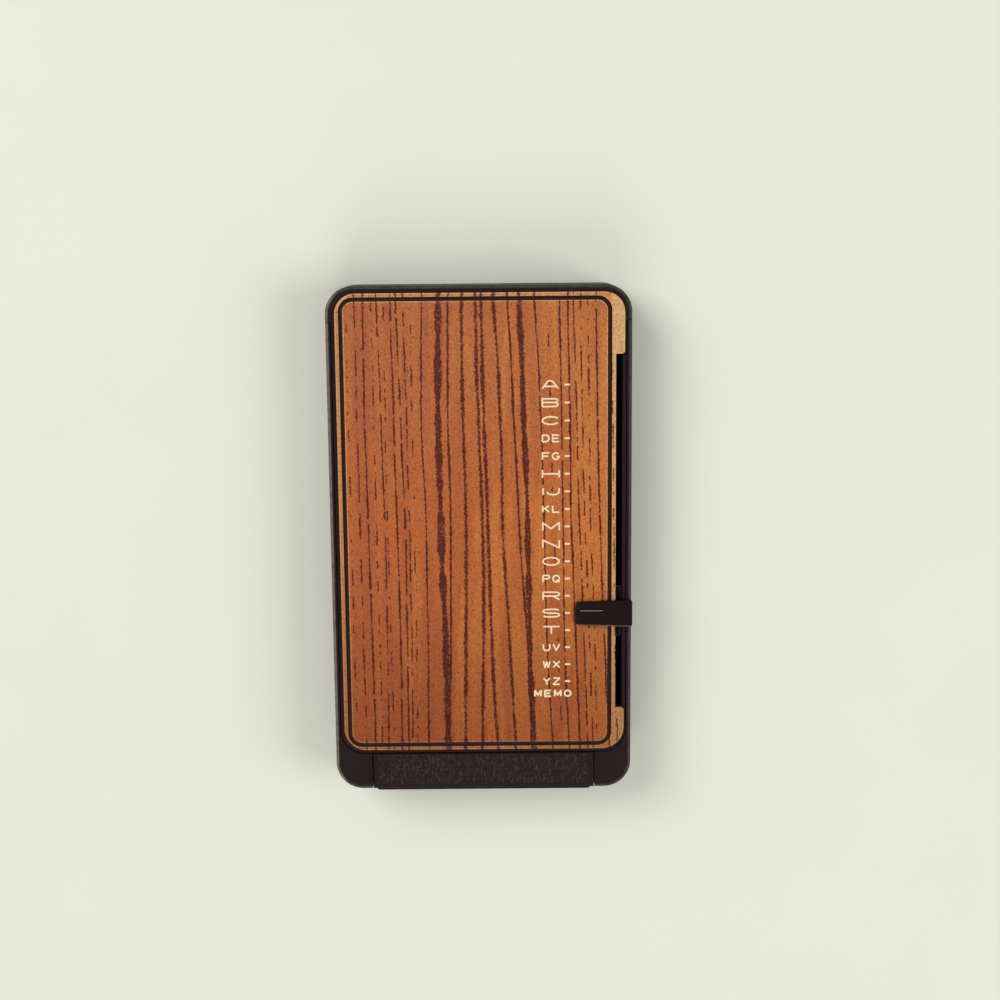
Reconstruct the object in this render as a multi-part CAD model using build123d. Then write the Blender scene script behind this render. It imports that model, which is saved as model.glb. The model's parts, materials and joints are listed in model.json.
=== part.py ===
"""Pop up telephone index: a flat desk case whose sprung lid flies open at a chosen letter.

Millimetres. +X to the right, +Y to the hinge, +Z up. The origin is on the table, under the middle
of the case. The lid is shut and the selector stands at S.
"""

from build123d import *
from math import acos, asin, atan2, cos, degrees, hypot, pi, radians, sin
import os

# ---- case
case_width = 110.0
case_length = 187.0
case_corner_radius = 10.0
case_wall = 1.8
case_floor = 1.8
case_height = 20.4  # underside of the floor to the rims
case_bottom_fillet = 1.2
case_rim_fillet = 0.7
deck_thickness = 1.8
deck_depth = 13.6  # front of the case to the lid opening
lid_opening_corner_radius = 8.6

fixed_fit = 0.02  # round a pin, rivet or foot that is fixed in its hole
cut_past = 1.0  # how far a cutting shape runs on beyond what it cuts

# ---- feet
foot_radius = 5.0
foot_proud = 1.2
foot_recess = 0.8
foot_inset_x = 13.0  # from the side of the case to a foot's centre
foot_inset_y = 11.5
foot_edge_radius = 0.4

# ---- lid: a plastic frame with a wood-grain plate on it
frame_thickness = 2.2
frame_gap = 0.3  # between the frame and the case, all round
plate_thickness = 0.8
plate_margin_left = 3.4
plate_margin_right = 2.6
plate_margin_rear = 2.6
plate_margin_front = 1.2  # from the frame's front edge
plate_rear_radius = 7.4
plate_front_radius = 8.2
plate_below_rim = 0.2  # the plate's seat lies this far below the rims
plate_seat_gap = 0.15  # round the plate in its seat
plate_edge_radius = 0.2
notch_depth = 3.2  # cut in the plate's right edge for the selector
frame_slot_gap = 0.3  # each side of the selector's web, in the frame's slot under the notch
notch_beyond_first = 10.9  # from the first mark of the scale to the notch's rear end
notch_beyond_memo = 5.6  # from the memo mark to its front end
notch_corner_radius = 1.2

# ---- hinge
hinge_from_rear = 8.1
hinge_below_rim = 7.7
hinge_rod_radius = 1.25
hinge_running_gap = 0.05
cheek_radius = 8.6
cheek_thickness = 3.0
cheek_gap = 0.4  # between the cheeks and the ends of the case's side walls
skirt_thickness = 1.2
skirt_below_hinge = 5.2
rear_wall_below_hinge = 7.7
rod_short_of_side = 0.2
rod_chamfer = 0.25
bracket_thickness = 1.0
bracket_from_hinge = 6.5
bracket_length = 13.5
bracket_beyond_ear = 1.9  # from an ear's middle to the end of the plate
bracket_corner_radius = 2.0
ear_from_cheek = 13.9  # from a cheek's inner face to the middle of the ear
ear_radius = 3.0
ear_setback = 2.0  # from the plate's front edge to the foot of the ear
ear_foot_height = 0.5
rivet_from_edge = 3.2
rivet_radius = 1.0
rivet_head_radius = 2.0
rivet_head_height = 0.8
clip_radius = 2.6
clip_thickness = 0.6
clip_side_gap = 0.1  # between an ear and its clip
rod_groove_depth = 0.3
rod_groove_gap = 0.05  # each side of the clip

# ---- lift springs
lift_wire = 0.8
lift_coil_radius = 2.4  # to the middle of the wire
lift_turn_gap = 0.45  # between two turns
lift_full_turns = 5
lift_upper_leg = 14.0  # how far ahead of the hinge it meets the lid
lift_lower_leg = 10.7
lift_from_clip = 1.3  # from the clip to the coil
lift_under_lid = 0.07  # gap over the end of the upper leg
spring_post_width = 3.0
spring_post_depth = 2.0

# ---- cards
card_names = "a b c de fg h ij kl m n o pq r s t uv wx yz".split()
card_thickness = 0.25
card_gap = 0.15
cards_under_carriage = 0.35
card_from_catch = 1.9  # from the catch to the cards' front edges
card_shoulder_from_hinge = 11.4
card_tongue_from_ear = 4.1
card_behind_hub = 0.3  # gap between a hub and the cards' rear edges
card_corner_radius = 2.0
tab_width = 4.0
tab_from_web = 0.9  # from the cards' tabs to the selector's web
ring_from_tongue_side = 6.0
ring_radius = 5.8
ring_wire_radius = 0.6
card_hole_radius = 1.6
card_hole_inside_ring = 0.6  # how much nearer the hinge the holes are than the ring's middle
ring_hub_wall = 0.65
ring_hub_width = 3.0
ring_arm_angle = -60.0  # degrees from +Y about the hinge: behind and below the rod
ring_arm_thickness = 2.2
ring_arm_beyond_wire = 0.25  # of the arm outside the ring's wire
ring_room_gap = 0.4  # round a ring and its hub, in the lid

# ---- scale printed on the plate
scale_first_from_rear = 35.7
scale_last_from_front = 41.14
memo_step = 4.64
chosen_card = "s"

# ---- memo pad and pen space
pen_space_width = 11.8
divider_thickness = 1.4
divider_under_card = 1.0  # how far the cards reach over the divider
pad_from_divider = 0.5
pad_inside_cards = 1.6  # from the pad's right edge to the cards'
pad_behind_cards = 3.5  # from the cards' front edge to the pad's
pad_from_bracket = 1.4
pad_board_thickness = 0.8
pad_under_cards = 2.0
card_rest_z_gap = 0.15
card_rest_depth = 2.4
card_rest_length = 24.0
card_rest_from_middle = 24.0  # from the pad's middle to the middle of each rest
pad_gap = 0.6  # between the memo pad and the ribs round it
pad_rib_thickness = 1.2
pad_rib_height = 4.0
pad_paper_inset = 0.3
pad_corner_radius = 1.5

# ---- selector
pointer_over_plate = 15.0  # from the web to its left end
pointer_past_side = 0.3  # beyond the side of the case
pointer_width_right = 10.0
pointer_width_left = 8.6
pointer_thickness = 1.8
pointer_above_plate = 0.2
pointer_corner_radius = 1.0
pointer_edge_radius = 0.5
web_thickness = 1.8
web_half_length = 4.6
carriage_under_lid = 8.3  # how far it reaches in from the web
carriage_half_length = 9.45
carriage_thickness = 1.2
carriage_below_frame = 0.2
carriage_corner_radius = 0.6
guide_from_web = 3.4
guide_width = 0.8
guide_height = 1.2
guide_clearance = 0.2
guide_setback = 1.0  # from the carriage's ends
rack_from_web = 6.4
rack_width = 3.0
rack_thickness = 1.2
rack_notch_depth = 0.6
rack_notch_width = 3.0
rack_notch_floor = 1.9
rack_end = 4.0  # beyond the last notch at each end
lifter_thickness = 1.0
lifter_half_width = 2.0
lifter_from_tab_root = 0.8  # from the cards' right edges to the finger's tip
lifter_below_cards = 0.7
lifter_in_web = 2.4  # how far it is let into the web above the frame's underside
detent_thickness = 0.25
detent_width = 2.0
detent_half_length = 8.0
detent_well_gap = 0.2
detent_well_floor = 0.3
detent_foot = 2.0  # the flat length at each end
detent_knee_half = 1.3
detent_nose_half = 0.7
detent_below_frame = 0.25  # of its knees
detent_in_notch_gap = 0.2

# ---- push bar and latch
bar_half_width = 41.3
bar_side_gap = 0.3
bar_rear_gap = 0.1  # behind the lid opening's edge
bar_above_rim = 0.1
bar_edge_radius = 0.6
bar_pad_height = 0.2
bar_pad_from_end = 2.2
bar_pad_front = 2.2  # from the lip's face to the grained field
bar_pad_rear = 0.5
bar_wall = 1.6
bar_end_depth = 3.0  # how far the ends reach below the top's underside
bar_above_floor = 2.6
bar_sill_gap = 1.8
bar_lip = 0.6
bar_lip_from_end = 2.0
bar_lip_below_top = 0.4
bar_rooting = 0.5  # how far its ribs and posts run up into the top
bar_spring_seat_wall = 0.5
bar_ear_from_front = 3.7
bar_ear_length = 4.0
bar_ear_reach = 1.6  # under the deck
bar_ear_thickness = 1.4
pivot_from_opening = 2.2
pivot_above_floor = 4.0
pivot_pin_radius = 1.0
pivot_pin_chamfer = 0.2
pivot_running_gap = 0.05
pivot_lug_radius = 2.4
pivot_lug_thickness = 2.0
pivot_lug_inset = 0.3  # from the bar's end
pivot_lug_neck = 1.2  # how far the lug's upright reaches behind the pin
pivot_boss_thickness = 3.0
pivot_boss_gap = 1.3  # between a boss and the end of the bar
pivot_boss_radius = 3.2
pivot_throat = 1.7  # width of the slot that the pin snaps down through
bar_spring_x = 25.0
bar_spring_from_front = 4.0
bar_spring_wire = 0.5
bar_spring_radius = 2.0
bar_spring_turns = 4
bar_spring_length = 7.0
bar_spring_seat_gap = 0.05
spigot_radius = 1.3
spigot_length = 1.2
hook_half_width = 6.0
latch_thickness = 1.0
hook_below_frame = 2.0
hook_height = 6.4
hook_toe_setback = 0.9  # from the lid opening to the root of the hook's toe
hook_toe_height = 1.2
hook_toe_reach = 1.85
hook_rivet_depth = 4.4  # below the hook's top
hook_rivet_x = 3.4
hook_rib_thickness = 1.5
hook_rib_beyond = 3.0  # each side of the hook
hook_rib_below = 0.4
latch_gap = 0.2
latch_engagement = 0.75
catch_half_width = 8.0
catch_leg_from_frame_edge = 1.1
catch_flange = 4.4
catch_rivet_from_end = 2.4
catch_rivet_behind_middle = 0.4
latch_rivet_radius = 0.8
latch_rivet_head_radius = 1.6
latch_rivet_head_height = 0.6
catch_rivet_head_gap = 0.1  # under the plate

# ---- places worked out from the sizes above
half_width = case_width / 2
half_length = case_length / 2
floor_under_z = foot_proud
floor_z = foot_proud + case_floor
rim_z = foot_proud + case_height
deck_under_z = rim_z - deck_thickness
opening_front_y = -half_length + deck_depth
inner_x = half_width - case_wall
inner_y = half_length - case_wall
hinge_y = half_length - hinge_from_rear
hinge_z = rim_z - hinge_below_rim
rear_wall_top_z = hinge_z - rear_wall_below_hinge
plate_seat_z = rim_z - plate_below_rim
frame_under_z = plate_seat_z - frame_thickness
plate_top_z = plate_seat_z + plate_thickness
frame_x = inner_x - frame_gap
frame_front_y = opening_front_y + frame_gap
plate_left_x = plate_margin_left - half_width
plate_right_x = half_width - plate_margin_right
plate_rear_y = half_length - plate_margin_rear
plate_front_y = frame_front_y + plate_margin_front
notch_x = plate_right_x - notch_depth
scale_first_y = half_length - scale_first_from_rear
scale_length = case_length - scale_first_from_rear - scale_last_from_front
letter_pitch = scale_length / (len(card_names) - 1)
card_rows = [scale_first_y - letter_pitch * row for row in range(len(card_names))]
memo_row = card_rows[-1] - memo_step
notch_rear_y = card_rows[0] + notch_beyond_first
notch_front_y = memo_row - notch_beyond_memo
selector_y = card_rows[card_names.index(chosen_card)]
web_x = notch_x + frame_slot_gap
pointer_left_x = web_x - pointer_over_plate
pointer_right_x = half_width + pointer_past_side
carriage_outer_x = web_x + web_thickness
carriage_inner_x = web_x - carriage_under_lid
carriage_top_z = frame_under_z - carriage_below_frame
carriage_under_z = carriage_top_z - carriage_thickness
detent_floor_z = carriage_under_z + detent_well_floor
guide_x = web_x - guide_from_web
rack_x = web_x - rack_from_web
bracket_top_z = floor_z + bracket_thickness
bracket_rear_y = hinge_y - bracket_from_hinge
bracket_front_y = bracket_rear_y - bracket_length
ear_x = half_width - cheek_thickness - ear_from_cheek
ear_outer_x = ear_x + bracket_thickness / 2
bracket_half_width = ear_x + bracket_beyond_ear
clip_x = ear_outer_x + clip_side_gap + clip_thickness / 2
lift_turn_pitch = lift_wire + lift_turn_gap
lift_leg_z = frame_under_z - hinge_z - lift_wire / 2 - lift_under_lid
lift_coil_inner_x = ear_outer_x + clip_thickness + lift_from_clip
catch_leg_y = frame_front_y + catch_leg_from_frame_edge
hook_top_z = frame_under_z - hook_below_frame
hook_toe_y = opening_front_y - hook_toe_setback
hook_toe_under_z = hook_top_z - hook_toe_height
catch_toe_top_z = hook_toe_under_z - latch_gap
catch_toe_front_y = hook_toe_y + hook_toe_reach - latch_engagement
catch_rivet_head_z = plate_seat_z - latch_rivet_head_height - catch_rivet_head_gap
card_pitch = card_thickness + card_gap
card_top_z = carriage_under_z - cards_under_carriage
cards_bottom_z = card_top_z - card_pitch * (len(card_names) - 1) - card_thickness
divider_x = pen_space_width + divider_thickness - inner_x
card_left_x = divider_x - divider_under_card
tab_x = web_x - tab_from_web
card_right_x = tab_x - tab_width
card_front_y = catch_leg_y + latch_thickness + card_from_catch
card_tongue_half_width = ear_x - card_tongue_from_ear
ring_x = card_tongue_half_width - ring_from_tongue_side
ring_hub_radius = hinge_rod_radius + ring_hub_wall
lifter_inner_x = card_right_x + lifter_from_tab_root
lifter_under_z = cards_bottom_z - lifter_below_cards - lifter_thickness
pad_left_x = divider_x + pad_from_divider
pad_right_x = card_right_x - pad_inside_cards
pad_front_y = card_front_y + pad_behind_cards
pad_rear_y = bracket_front_y - pad_from_bracket
pad_under_z = floor_z + pad_board_thickness
pad_top_z = cards_bottom_z - pad_under_cards
bar_top_z = rim_z + bar_above_rim
bar_bottom_z = floor_z + bar_above_floor
bar_spring_y = bar_spring_from_front - half_length
bar_spring_top_z = floor_z + bar_spring_length
pivot_y = opening_front_y - pivot_from_opening
pivot_z = floor_z + pivot_above_floor


def slab(face, low_z, high_z):
    """A flat shape in plan, raised from low_z to high_z."""
    return Pos(0, 0, low_z) * extrude(face, high_z - low_z)


def rect(x0, x1, y0, y1):
    """A rectangle in plan, by its sides."""
    return Pos((x0 + x1) / 2, (y0 + y1) / 2) * Rectangle(x1 - x0, y1 - y0)


def block(x0, x1, y0, y1, z0, z1):
    """A box by its sides."""
    return slab(rect(x0, x1, y0, y1), z0, z1)


def both_sides(shape):
    """The shape and its mirror image across the middle of the case."""
    return shape + mirror(shape, about=Plane.YZ)


def x_rod(radius, x0, x1, y, z):
    """A round bar along X."""
    return Pos((x0 + x1) / 2, y, z) * Rot(0, 90, 0) * Cylinder(radius, x1 - x0)


def y_rod(radius, x, y0, y1, z):
    """A round bar along Y."""
    return Pos(x, (y0 + y1) / 2, z) * Rot(90, 0, 0) * Cylinder(radius, y1 - y0)


def z_rod(radius, x, y, z0, z1):
    """A round bar along Z."""
    return Pos(x, y, (z0 + z1) / 2) * Cylinder(radius, z1 - z0)


def side_profile(points, x0, x1):
    """A shape drawn in side view as (y, z) points, spread from x0 to x1."""
    face = make_face(Polyline(*[(x0, y, z) for y, z in points], close=True))
    return extrude(face, amount=x1 - x0, dir=(1, 0, 0))


def case_plan(inset=0.0):
    """The case's outline, drawn in by inset."""
    return RectangleRounded(
        case_width - 2 * inset, case_length - 2 * inset, case_corner_radius - inset
    )


def corners_at(face, x=None, y=None):
    """The outline's corners at the given x, the given y, or both."""
    return [
        v
        for v in face.vertices()
        if (x is None or abs(v.X - x) < 1e-6) and (y is None or abs(v.Y - y) < 1e-6)
    ]


def edges_at(shape, z):
    """The shape's edges that lie flat at height z."""
    return shape.edges().filter_by_position(Axis.Z, z - 1e-4, z + 1e-4)


# ---- case
def pen_and_memo_ribs():
    """The divider beside the pen space, the memo pad's right rib and the cards' front rests."""
    divider = block(
        divider_x - divider_thickness,
        divider_x,
        -inner_y + deck_depth,
        pad_rear_y,
        floor_z,
        cards_bottom_z - card_rest_z_gap,
    )
    rib_x = pad_right_x + pad_gap
    pad_rib = block(
        rib_x, rib_x + pad_rib_thickness, pad_front_y, pad_rear_y, floor_z, floor_z + pad_rib_height
    )
    ribs = divider + pad_rib
    rest_y = pad_front_y - pad_gap
    for x in (-card_rest_from_middle, card_rest_from_middle):
        ribs += block(
            x - card_rest_length / 2,
            x + card_rest_length / 2,
            rest_y - card_rest_depth,
            rest_y,
            floor_z,
            cards_bottom_z - card_rest_z_gap,
        )
    return ribs


def pivot_boss():
    """The right-hand boss that the push bar's pin snaps down into."""
    x0 = bar_half_width + pivot_boss_gap
    x1 = x0 + pivot_boss_thickness
    radius = pivot_boss_radius
    boss = x_rod(radius, x0, x1, pivot_y, pivot_z)
    boss += block(x0, x1, pivot_y - radius, pivot_y + radius, floor_z, pivot_z)
    boss -= x_rod(pivot_pin_radius + fixed_fit, x0, x1, pivot_y, pivot_z)
    throat = pivot_throat / 2
    return boss - block(x0, x1, pivot_y - throat, pivot_y + throat, pivot_z, pivot_z + radius)


def spring_post():
    """The right-hand post that a lift spring's lower leg bears on."""
    x = lift_leg_x()
    front = hinge_y - lift_lower_leg - spring_post_depth / 2
    return block(
        x - spring_post_width / 2,
        x + spring_post_width / 2,
        front,
        front + spring_post_depth,
        floor_z,
        hinge_z - lift_coil_radius - lift_wire / 2,
    )


def base_tray():
    """The case: floor, walls, front deck and everything moulded on them."""
    tray = slab(case_plan(), floor_under_z, rim_z)
    tray = fillet(edges_at(tray, floor_under_z), case_bottom_fillet)
    tray = fillet(edges_at(tray, rim_z), case_rim_fillet)
    tray -= slab(case_plan(case_wall), floor_z, deck_under_z)
    opening = rect(-inner_x, inner_x, opening_front_y, inner_y)
    opening = fillet(corners_at(opening, y=opening_front_y), lid_opening_corner_radius)
    opening = fillet(corners_at(opening, y=inner_y), case_corner_radius - case_wall)
    past_rim = rim_z + cut_past
    past_side = half_width + cut_past
    past_end = half_length + cut_past
    tray -= slab(opening, deck_under_z, past_rim)
    # the lid's rear end turns in this space
    tray -= x_rod(cheek_radius + cheek_gap, -past_side, past_side, hinge_y, hinge_z)
    tray -= block(-past_side, past_side, hinge_y, past_end, rear_wall_top_z, past_rim)
    # the push bar's bay, open to the lid's opening
    bay_x = bar_half_width + bar_side_gap
    bay_rear_y = opening_front_y + fixed_fit
    tray -= block(-bay_x, bay_x, -past_end, bay_rear_y, bar_bottom_z - bar_sill_gap, past_rim)
    tray += pen_and_memo_ribs()
    tray += both_sides(pivot_boss())
    tray += both_sides(spring_post())
    tray += both_sides(
        z_rod(spigot_radius, bar_spring_x, bar_spring_y, floor_z, floor_z + spigot_length)
    )
    for x, y in foot_places():
        tray -= z_rod(foot_radius + fixed_fit, x, y, 0, floor_under_z + foot_recess)
    for x, y in bracket_rivet_places():
        tray -= z_rod(rivet_radius + fixed_fit, x, y, 0, floor_z + cut_past)
    return tray


def foot_places():
    """Where the feet are, in plan: front left, front right, rear left, rear right."""
    x = half_width - foot_inset_x
    y = half_length - foot_inset_y
    return [(-x, -y), (x, -y), (-x, y), (x, y)]


def foot(x, y):
    """A rubber foot, let into the floor."""
    pad = z_rod(foot_radius, x, y, 0, floor_under_z + foot_recess)
    return fillet(edges_at(pad, 0), foot_edge_radius)


# ---- hinge
def bracket_rivet_places():
    """Where the bracket's rivets are, in plan."""
    rows = (bracket_rear_y - rivet_from_edge, bracket_front_y + rivet_from_edge)
    return [(x, y) for x in (-bracket_half_width / 2, bracket_half_width / 2) for y in rows]


def ear_tangent(y, z, side):
    """Where a line from (y, z) touches an ear's round end, on its rear (1) or front (-1) side."""
    away = hypot(hinge_y - y, hinge_z - z)
    to_start = atan2(z - hinge_z, y - hinge_y)
    turn = acos(ear_radius / away) * side
    return hinge_y + ear_radius * cos(to_start + turn), hinge_z + ear_radius * sin(to_start + turn)


def hinge_bracket():
    """The steel bracket: a plate on the floor with an ear at each end for the rod."""
    plate = block(
        -bracket_half_width,
        bracket_half_width,
        bracket_front_y,
        bracket_rear_y,
        floor_z,
        bracket_top_z,
    )
    plate = fillet(plate.edges().filter_by(Axis.Z), bracket_corner_radius)
    x0 = ear_x - bracket_thickness / 2
    disc = x_rod(ear_radius, x0, ear_outer_x, hinge_y, hinge_z)
    ear_front_y = bracket_front_y + ear_setback
    ear_foot_z = bracket_top_z + ear_foot_height
    web = side_profile(
        [
            (ear_front_y, floor_z),
            (bracket_rear_y, floor_z),
            (bracket_rear_y, bracket_top_z),
            ear_tangent(bracket_rear_y, bracket_top_z, 1),
            (hinge_y, hinge_z),
            ear_tangent(ear_front_y, ear_foot_z, -1),
            (ear_front_y, ear_foot_z),
        ],
        x0,
        ear_outer_x,
    )
    bracket = plate + both_sides(disc + web)
    bracket -= x_rod(hinge_rod_radius + fixed_fit, -half_width, half_width, hinge_y, hinge_z)
    for x, y in bracket_rivet_places():
        bracket -= z_rod(rivet_radius + fixed_fit, x, y, 0, hinge_z)
    return bracket


def bracket_rivets():
    """Four rivets, through the bracket and the floor."""
    head_top_z = bracket_top_z + rivet_head_height
    rivets = []
    for x, y in bracket_rivet_places():
        head = z_rod(rivet_head_radius, x, y, bracket_top_z, head_top_z)
        head = fillet(edges_at(head, head_top_z), rivet_head_height * 0.6)
        rivets.append(head + z_rod(rivet_radius, x, y, floor_under_z, bracket_top_z))
    return rivets


def hinge_rod():
    """The rod that the lid and the cards turn on, grooved for its clips."""
    length = half_width - rod_short_of_side
    rod = x_rod(hinge_rod_radius, -length, length, hinge_y, hinge_z)
    rod = chamfer(rod.edges().filter_by(GeomType.CIRCLE), rod_chamfer)
    x0 = clip_x - clip_thickness / 2 - rod_groove_gap
    x1 = clip_x + clip_thickness / 2 + rod_groove_gap
    ring = x_rod(hinge_rod_radius + cut_past, x0, x1, hinge_y, hinge_z)
    ring -= x_rod(hinge_rod_radius - rod_groove_depth, x0, x1, hinge_y, hinge_z)
    return rod - both_sides(ring)


def rod_clips():
    """Two spring clips in the rod's grooves, open at the top."""
    x0 = clip_x - clip_thickness / 2
    x1 = clip_x + clip_thickness / 2
    inside = hinge_rod_radius - rod_groove_depth + fixed_fit
    clip = x_rod(clip_radius, x0, x1, hinge_y, hinge_z)
    clip -= x_rod(inside, x0, x1, hinge_y, hinge_z)
    clip -= block(x0, x1, hinge_y - inside, hinge_y + inside, hinge_z, hinge_z + clip_radius)
    return [clip, mirror(clip, about=Plane.YZ)]


# ---- springs
def biarc(p0, t0, p1, t1):
    """Two arcs that leave p0 along t0 and reach p1 along t1."""
    v = p1 - p0
    both = t0 + t1
    turn = 2 * (1 - t0.dot(t1))
    reach = (-v.dot(both) + (v.dot(both) ** 2 + turn * v.dot(v)) ** 0.5) / turn
    middle = (p0 + p1 + (t0 - t1) * reach) * 0.5
    turned = (middle - (p0 + t0 * reach)).normalized()
    return [
        Edge.make_tangent_arc(p0, t0, middle),
        Edge.make_tangent_arc(middle, turned, p1),
    ]


def coil_points(radius, pitch, angle0, angle1):
    """Points and directions on a coil about the X axis, a quarter turn apart or a little less."""
    steps = max(2, round(abs(angle1 - angle0) / 90))
    rise = pitch / (2 * pi)
    out = []
    for step in range(steps + 1):
        angle = radians(angle0 + (angle1 - angle0) * step / steps)
        point = Vector(rise * (angle - radians(angle0)), radius * cos(angle), radius * sin(angle))
        level = 0.0 if step in (0, steps) else rise
        way = Vector(level, -radius * sin(angle), radius * cos(angle)).normalized()
        out.append((point, way))
    return out


def wound_wire(points, wire, lead_in=0.0, lead_out=0.0):
    """A round wire through the points, with a straight leg at either end."""
    edges = []
    first, start = points[0]
    last, end = points[-1]
    if lead_in:
        edges.append(Edge.make_line(first - start * lead_in, first))
    for (p0, t0), (p1, t1) in zip(points, points[1:]):
        edges += biarc(p0, t0, p1, t1)
    if lead_out:
        edges.append(Edge.make_line(last, last + end * lead_out))
    path = Wire(edges)
    section = Plane(path @ 0, z_dir=path % 0) * Circle(wire / 2)
    return sweep(section, path=path)


def lift_leg_slope():
    """How steeply a lift spring's upper leg climbs, in degrees."""
    far = hypot(lift_upper_leg, lift_leg_z)
    return degrees(atan2(lift_leg_z, lift_upper_leg) - asin(lift_coil_radius / far))


def lift_angles():
    """Where a lift spring's coil starts and ends, in degrees about the hinge."""
    return -90.0, 90.0 - lift_leg_slope() + 360.0 * lift_full_turns


def lift_axial_length():
    """The coil's length along the rod, from wire middle to wire middle."""
    start, end = lift_angles()
    return lift_turn_pitch * (end - start) / 360


def lift_leg_x():
    """Where the right-hand lift spring's lower leg lies."""
    return lift_coil_inner_x + lift_wire / 2 + lift_axial_length()


def lift_spring():
    """The right-hand torsion spring: its lower leg on the case's post, its upper one under the lid."""
    start, end = lift_angles()
    points = coil_points(lift_coil_radius, -lift_turn_pitch, start, end)
    far = hypot(lift_upper_leg, lift_leg_z)
    leg = (far**2 - lift_coil_radius**2) ** 0.5
    spring = wound_wire(points, lift_wire, lead_in=lift_lower_leg, lead_out=leg)
    return Pos(lift_leg_x(), hinge_y, hinge_z) * spring


def bar_spring(x):
    """A return spring under the push bar."""
    points = coil_points(bar_spring_radius, bar_spring_pitch(), 0, 360 * bar_spring_turns)
    spring = Rot(0, -90, 0) * wound_wire(points, bar_spring_wire)
    return Pos(x, bar_spring_y, floor_z + bar_spring_seat_gap + bar_spring_wire / 2) * spring


def bar_spring_pitch():
    """The height of one of its turns."""
    height = bar_spring_top_z - floor_z - 2 * bar_spring_seat_gap - bar_spring_wire
    return height / bar_spring_turns


# ---- cards
def card(row):
    """One index card. Its tab runs from just below its own letter to the front."""
    hinge_side = hinge_y - card_shoulder_from_hinge
    tab_rear_y = card_rows[row] - letter_pitch / 2
    body = rect(card_left_x, card_right_x, card_front_y, hinge_side)
    body += rect(0, tab_x, card_front_y, tab_rear_y)
    body += rect(
        -card_tongue_half_width,
        card_tongue_half_width,
        card_front_y,
        hinge_y - ring_hub_radius - card_behind_hub,
    )
    rounded = corners_at(body, y=card_front_y) + corners_at(body, x=tab_x, y=tab_rear_y)
    body = fillet(rounded, card_corner_radius)
    hole_y = hinge_y - ring_radius + card_hole_inside_ring
    for x in (-ring_x, ring_x):
        body -= Pos(x, hole_y) * Circle(card_hole_radius)
    top = card_top_z - card_pitch * row
    return slab(body, top - card_thickness, top)


def card_ring(x):
    """A closed wire ring about the hinge, through a hole in every card."""
    return Pos(x, hinge_y, hinge_z) * Rot(0, 90, 0) * Torus(ring_radius, ring_wire_radius)


def ring_hub(x):
    """A hub fixed on the rod, whose arm holds a ring behind the cards."""
    x0 = x - ring_hub_width / 2
    x1 = x + ring_hub_width / 2
    hub = x_rod(ring_hub_radius, x0, x1, hinge_y, hinge_z)
    reach = ring_radius + ring_wire_radius + ring_arm_beyond_wire
    half_arm = ring_arm_thickness / 2
    arm = block(x0, x1, 0, reach + cut_past, -half_arm, half_arm)
    arm = Pos(0, hinge_y, hinge_z) * Rot(ring_arm_angle, 0, 0) * arm
    hub += arm & x_rod(reach, x0, x1, hinge_y, hinge_z)
    hub -= x_rod(hinge_rod_radius + fixed_fit, x0, x1, hinge_y, hinge_z)
    groove = Torus(ring_radius, ring_wire_radius + fixed_fit)
    return hub - Pos(x, hinge_y, hinge_z) * Rot(0, 90, 0) * groove


def memo_board():
    """The memo pad's backing board."""
    outline = rect(pad_left_x, pad_right_x, pad_front_y, pad_rear_y)
    outline = fillet(outline.vertices(), pad_corner_radius)
    return slab(outline, floor_z, pad_under_z)


def memo_pad():
    """The memo pad's paper."""
    front = pad_front_y + pad_paper_inset
    outline = rect(pad_left_x + pad_paper_inset, pad_right_x - pad_paper_inset, front, pad_rear_y)
    return slab(fillet(corners_at(outline, y=front), pad_corner_radius), pad_under_z, pad_top_z)


# ---- lid
def wood_plate():
    """The wood-grain plate on the lid."""
    outline = rect(plate_left_x, plate_right_x, plate_front_y, plate_rear_y)
    outline = fillet(corners_at(outline, y=plate_front_y), plate_front_radius)
    outline = fillet(corners_at(outline, y=plate_rear_y), plate_rear_radius)
    # the selector's notch
    outline -= rect(notch_x, plate_right_x + cut_past, notch_front_y, notch_rear_y)
    for y in (notch_front_y, notch_rear_y):
        outline = fillet(corners_at(outline, x=plate_right_x, y=y), notch_corner_radius)
    plate = slab(outline, plate_seat_z, plate_top_z)
    return fillet(edges_at(plate, plate_top_z), plate_edge_radius)


def lid_rear():
    """The lid's rear end: border, skirt and the two cheeks that turn on the rod."""
    turned = x_rod(cheek_radius, -half_width, half_width, hinge_y, hinge_z)
    square = block(
        -half_width, half_width, hinge_y, half_length, hinge_z - skirt_below_hinge, rim_z
    )
    outside = slab(case_plan(), floor_under_z, rim_z)
    outside = fillet(edges_at(outside, rim_z), case_rim_fillet)
    shell = (turned + square) & outside
    inside_x = half_width - cheek_thickness
    inside = rect(-inside_x, inside_x, 0, half_length - skirt_thickness)
    radius = case_corner_radius - cheek_thickness
    inside = fillet(corners_at(inside, y=half_length - skirt_thickness), radius)
    shell -= slab(inside, 0, frame_under_z)
    return shell


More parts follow.
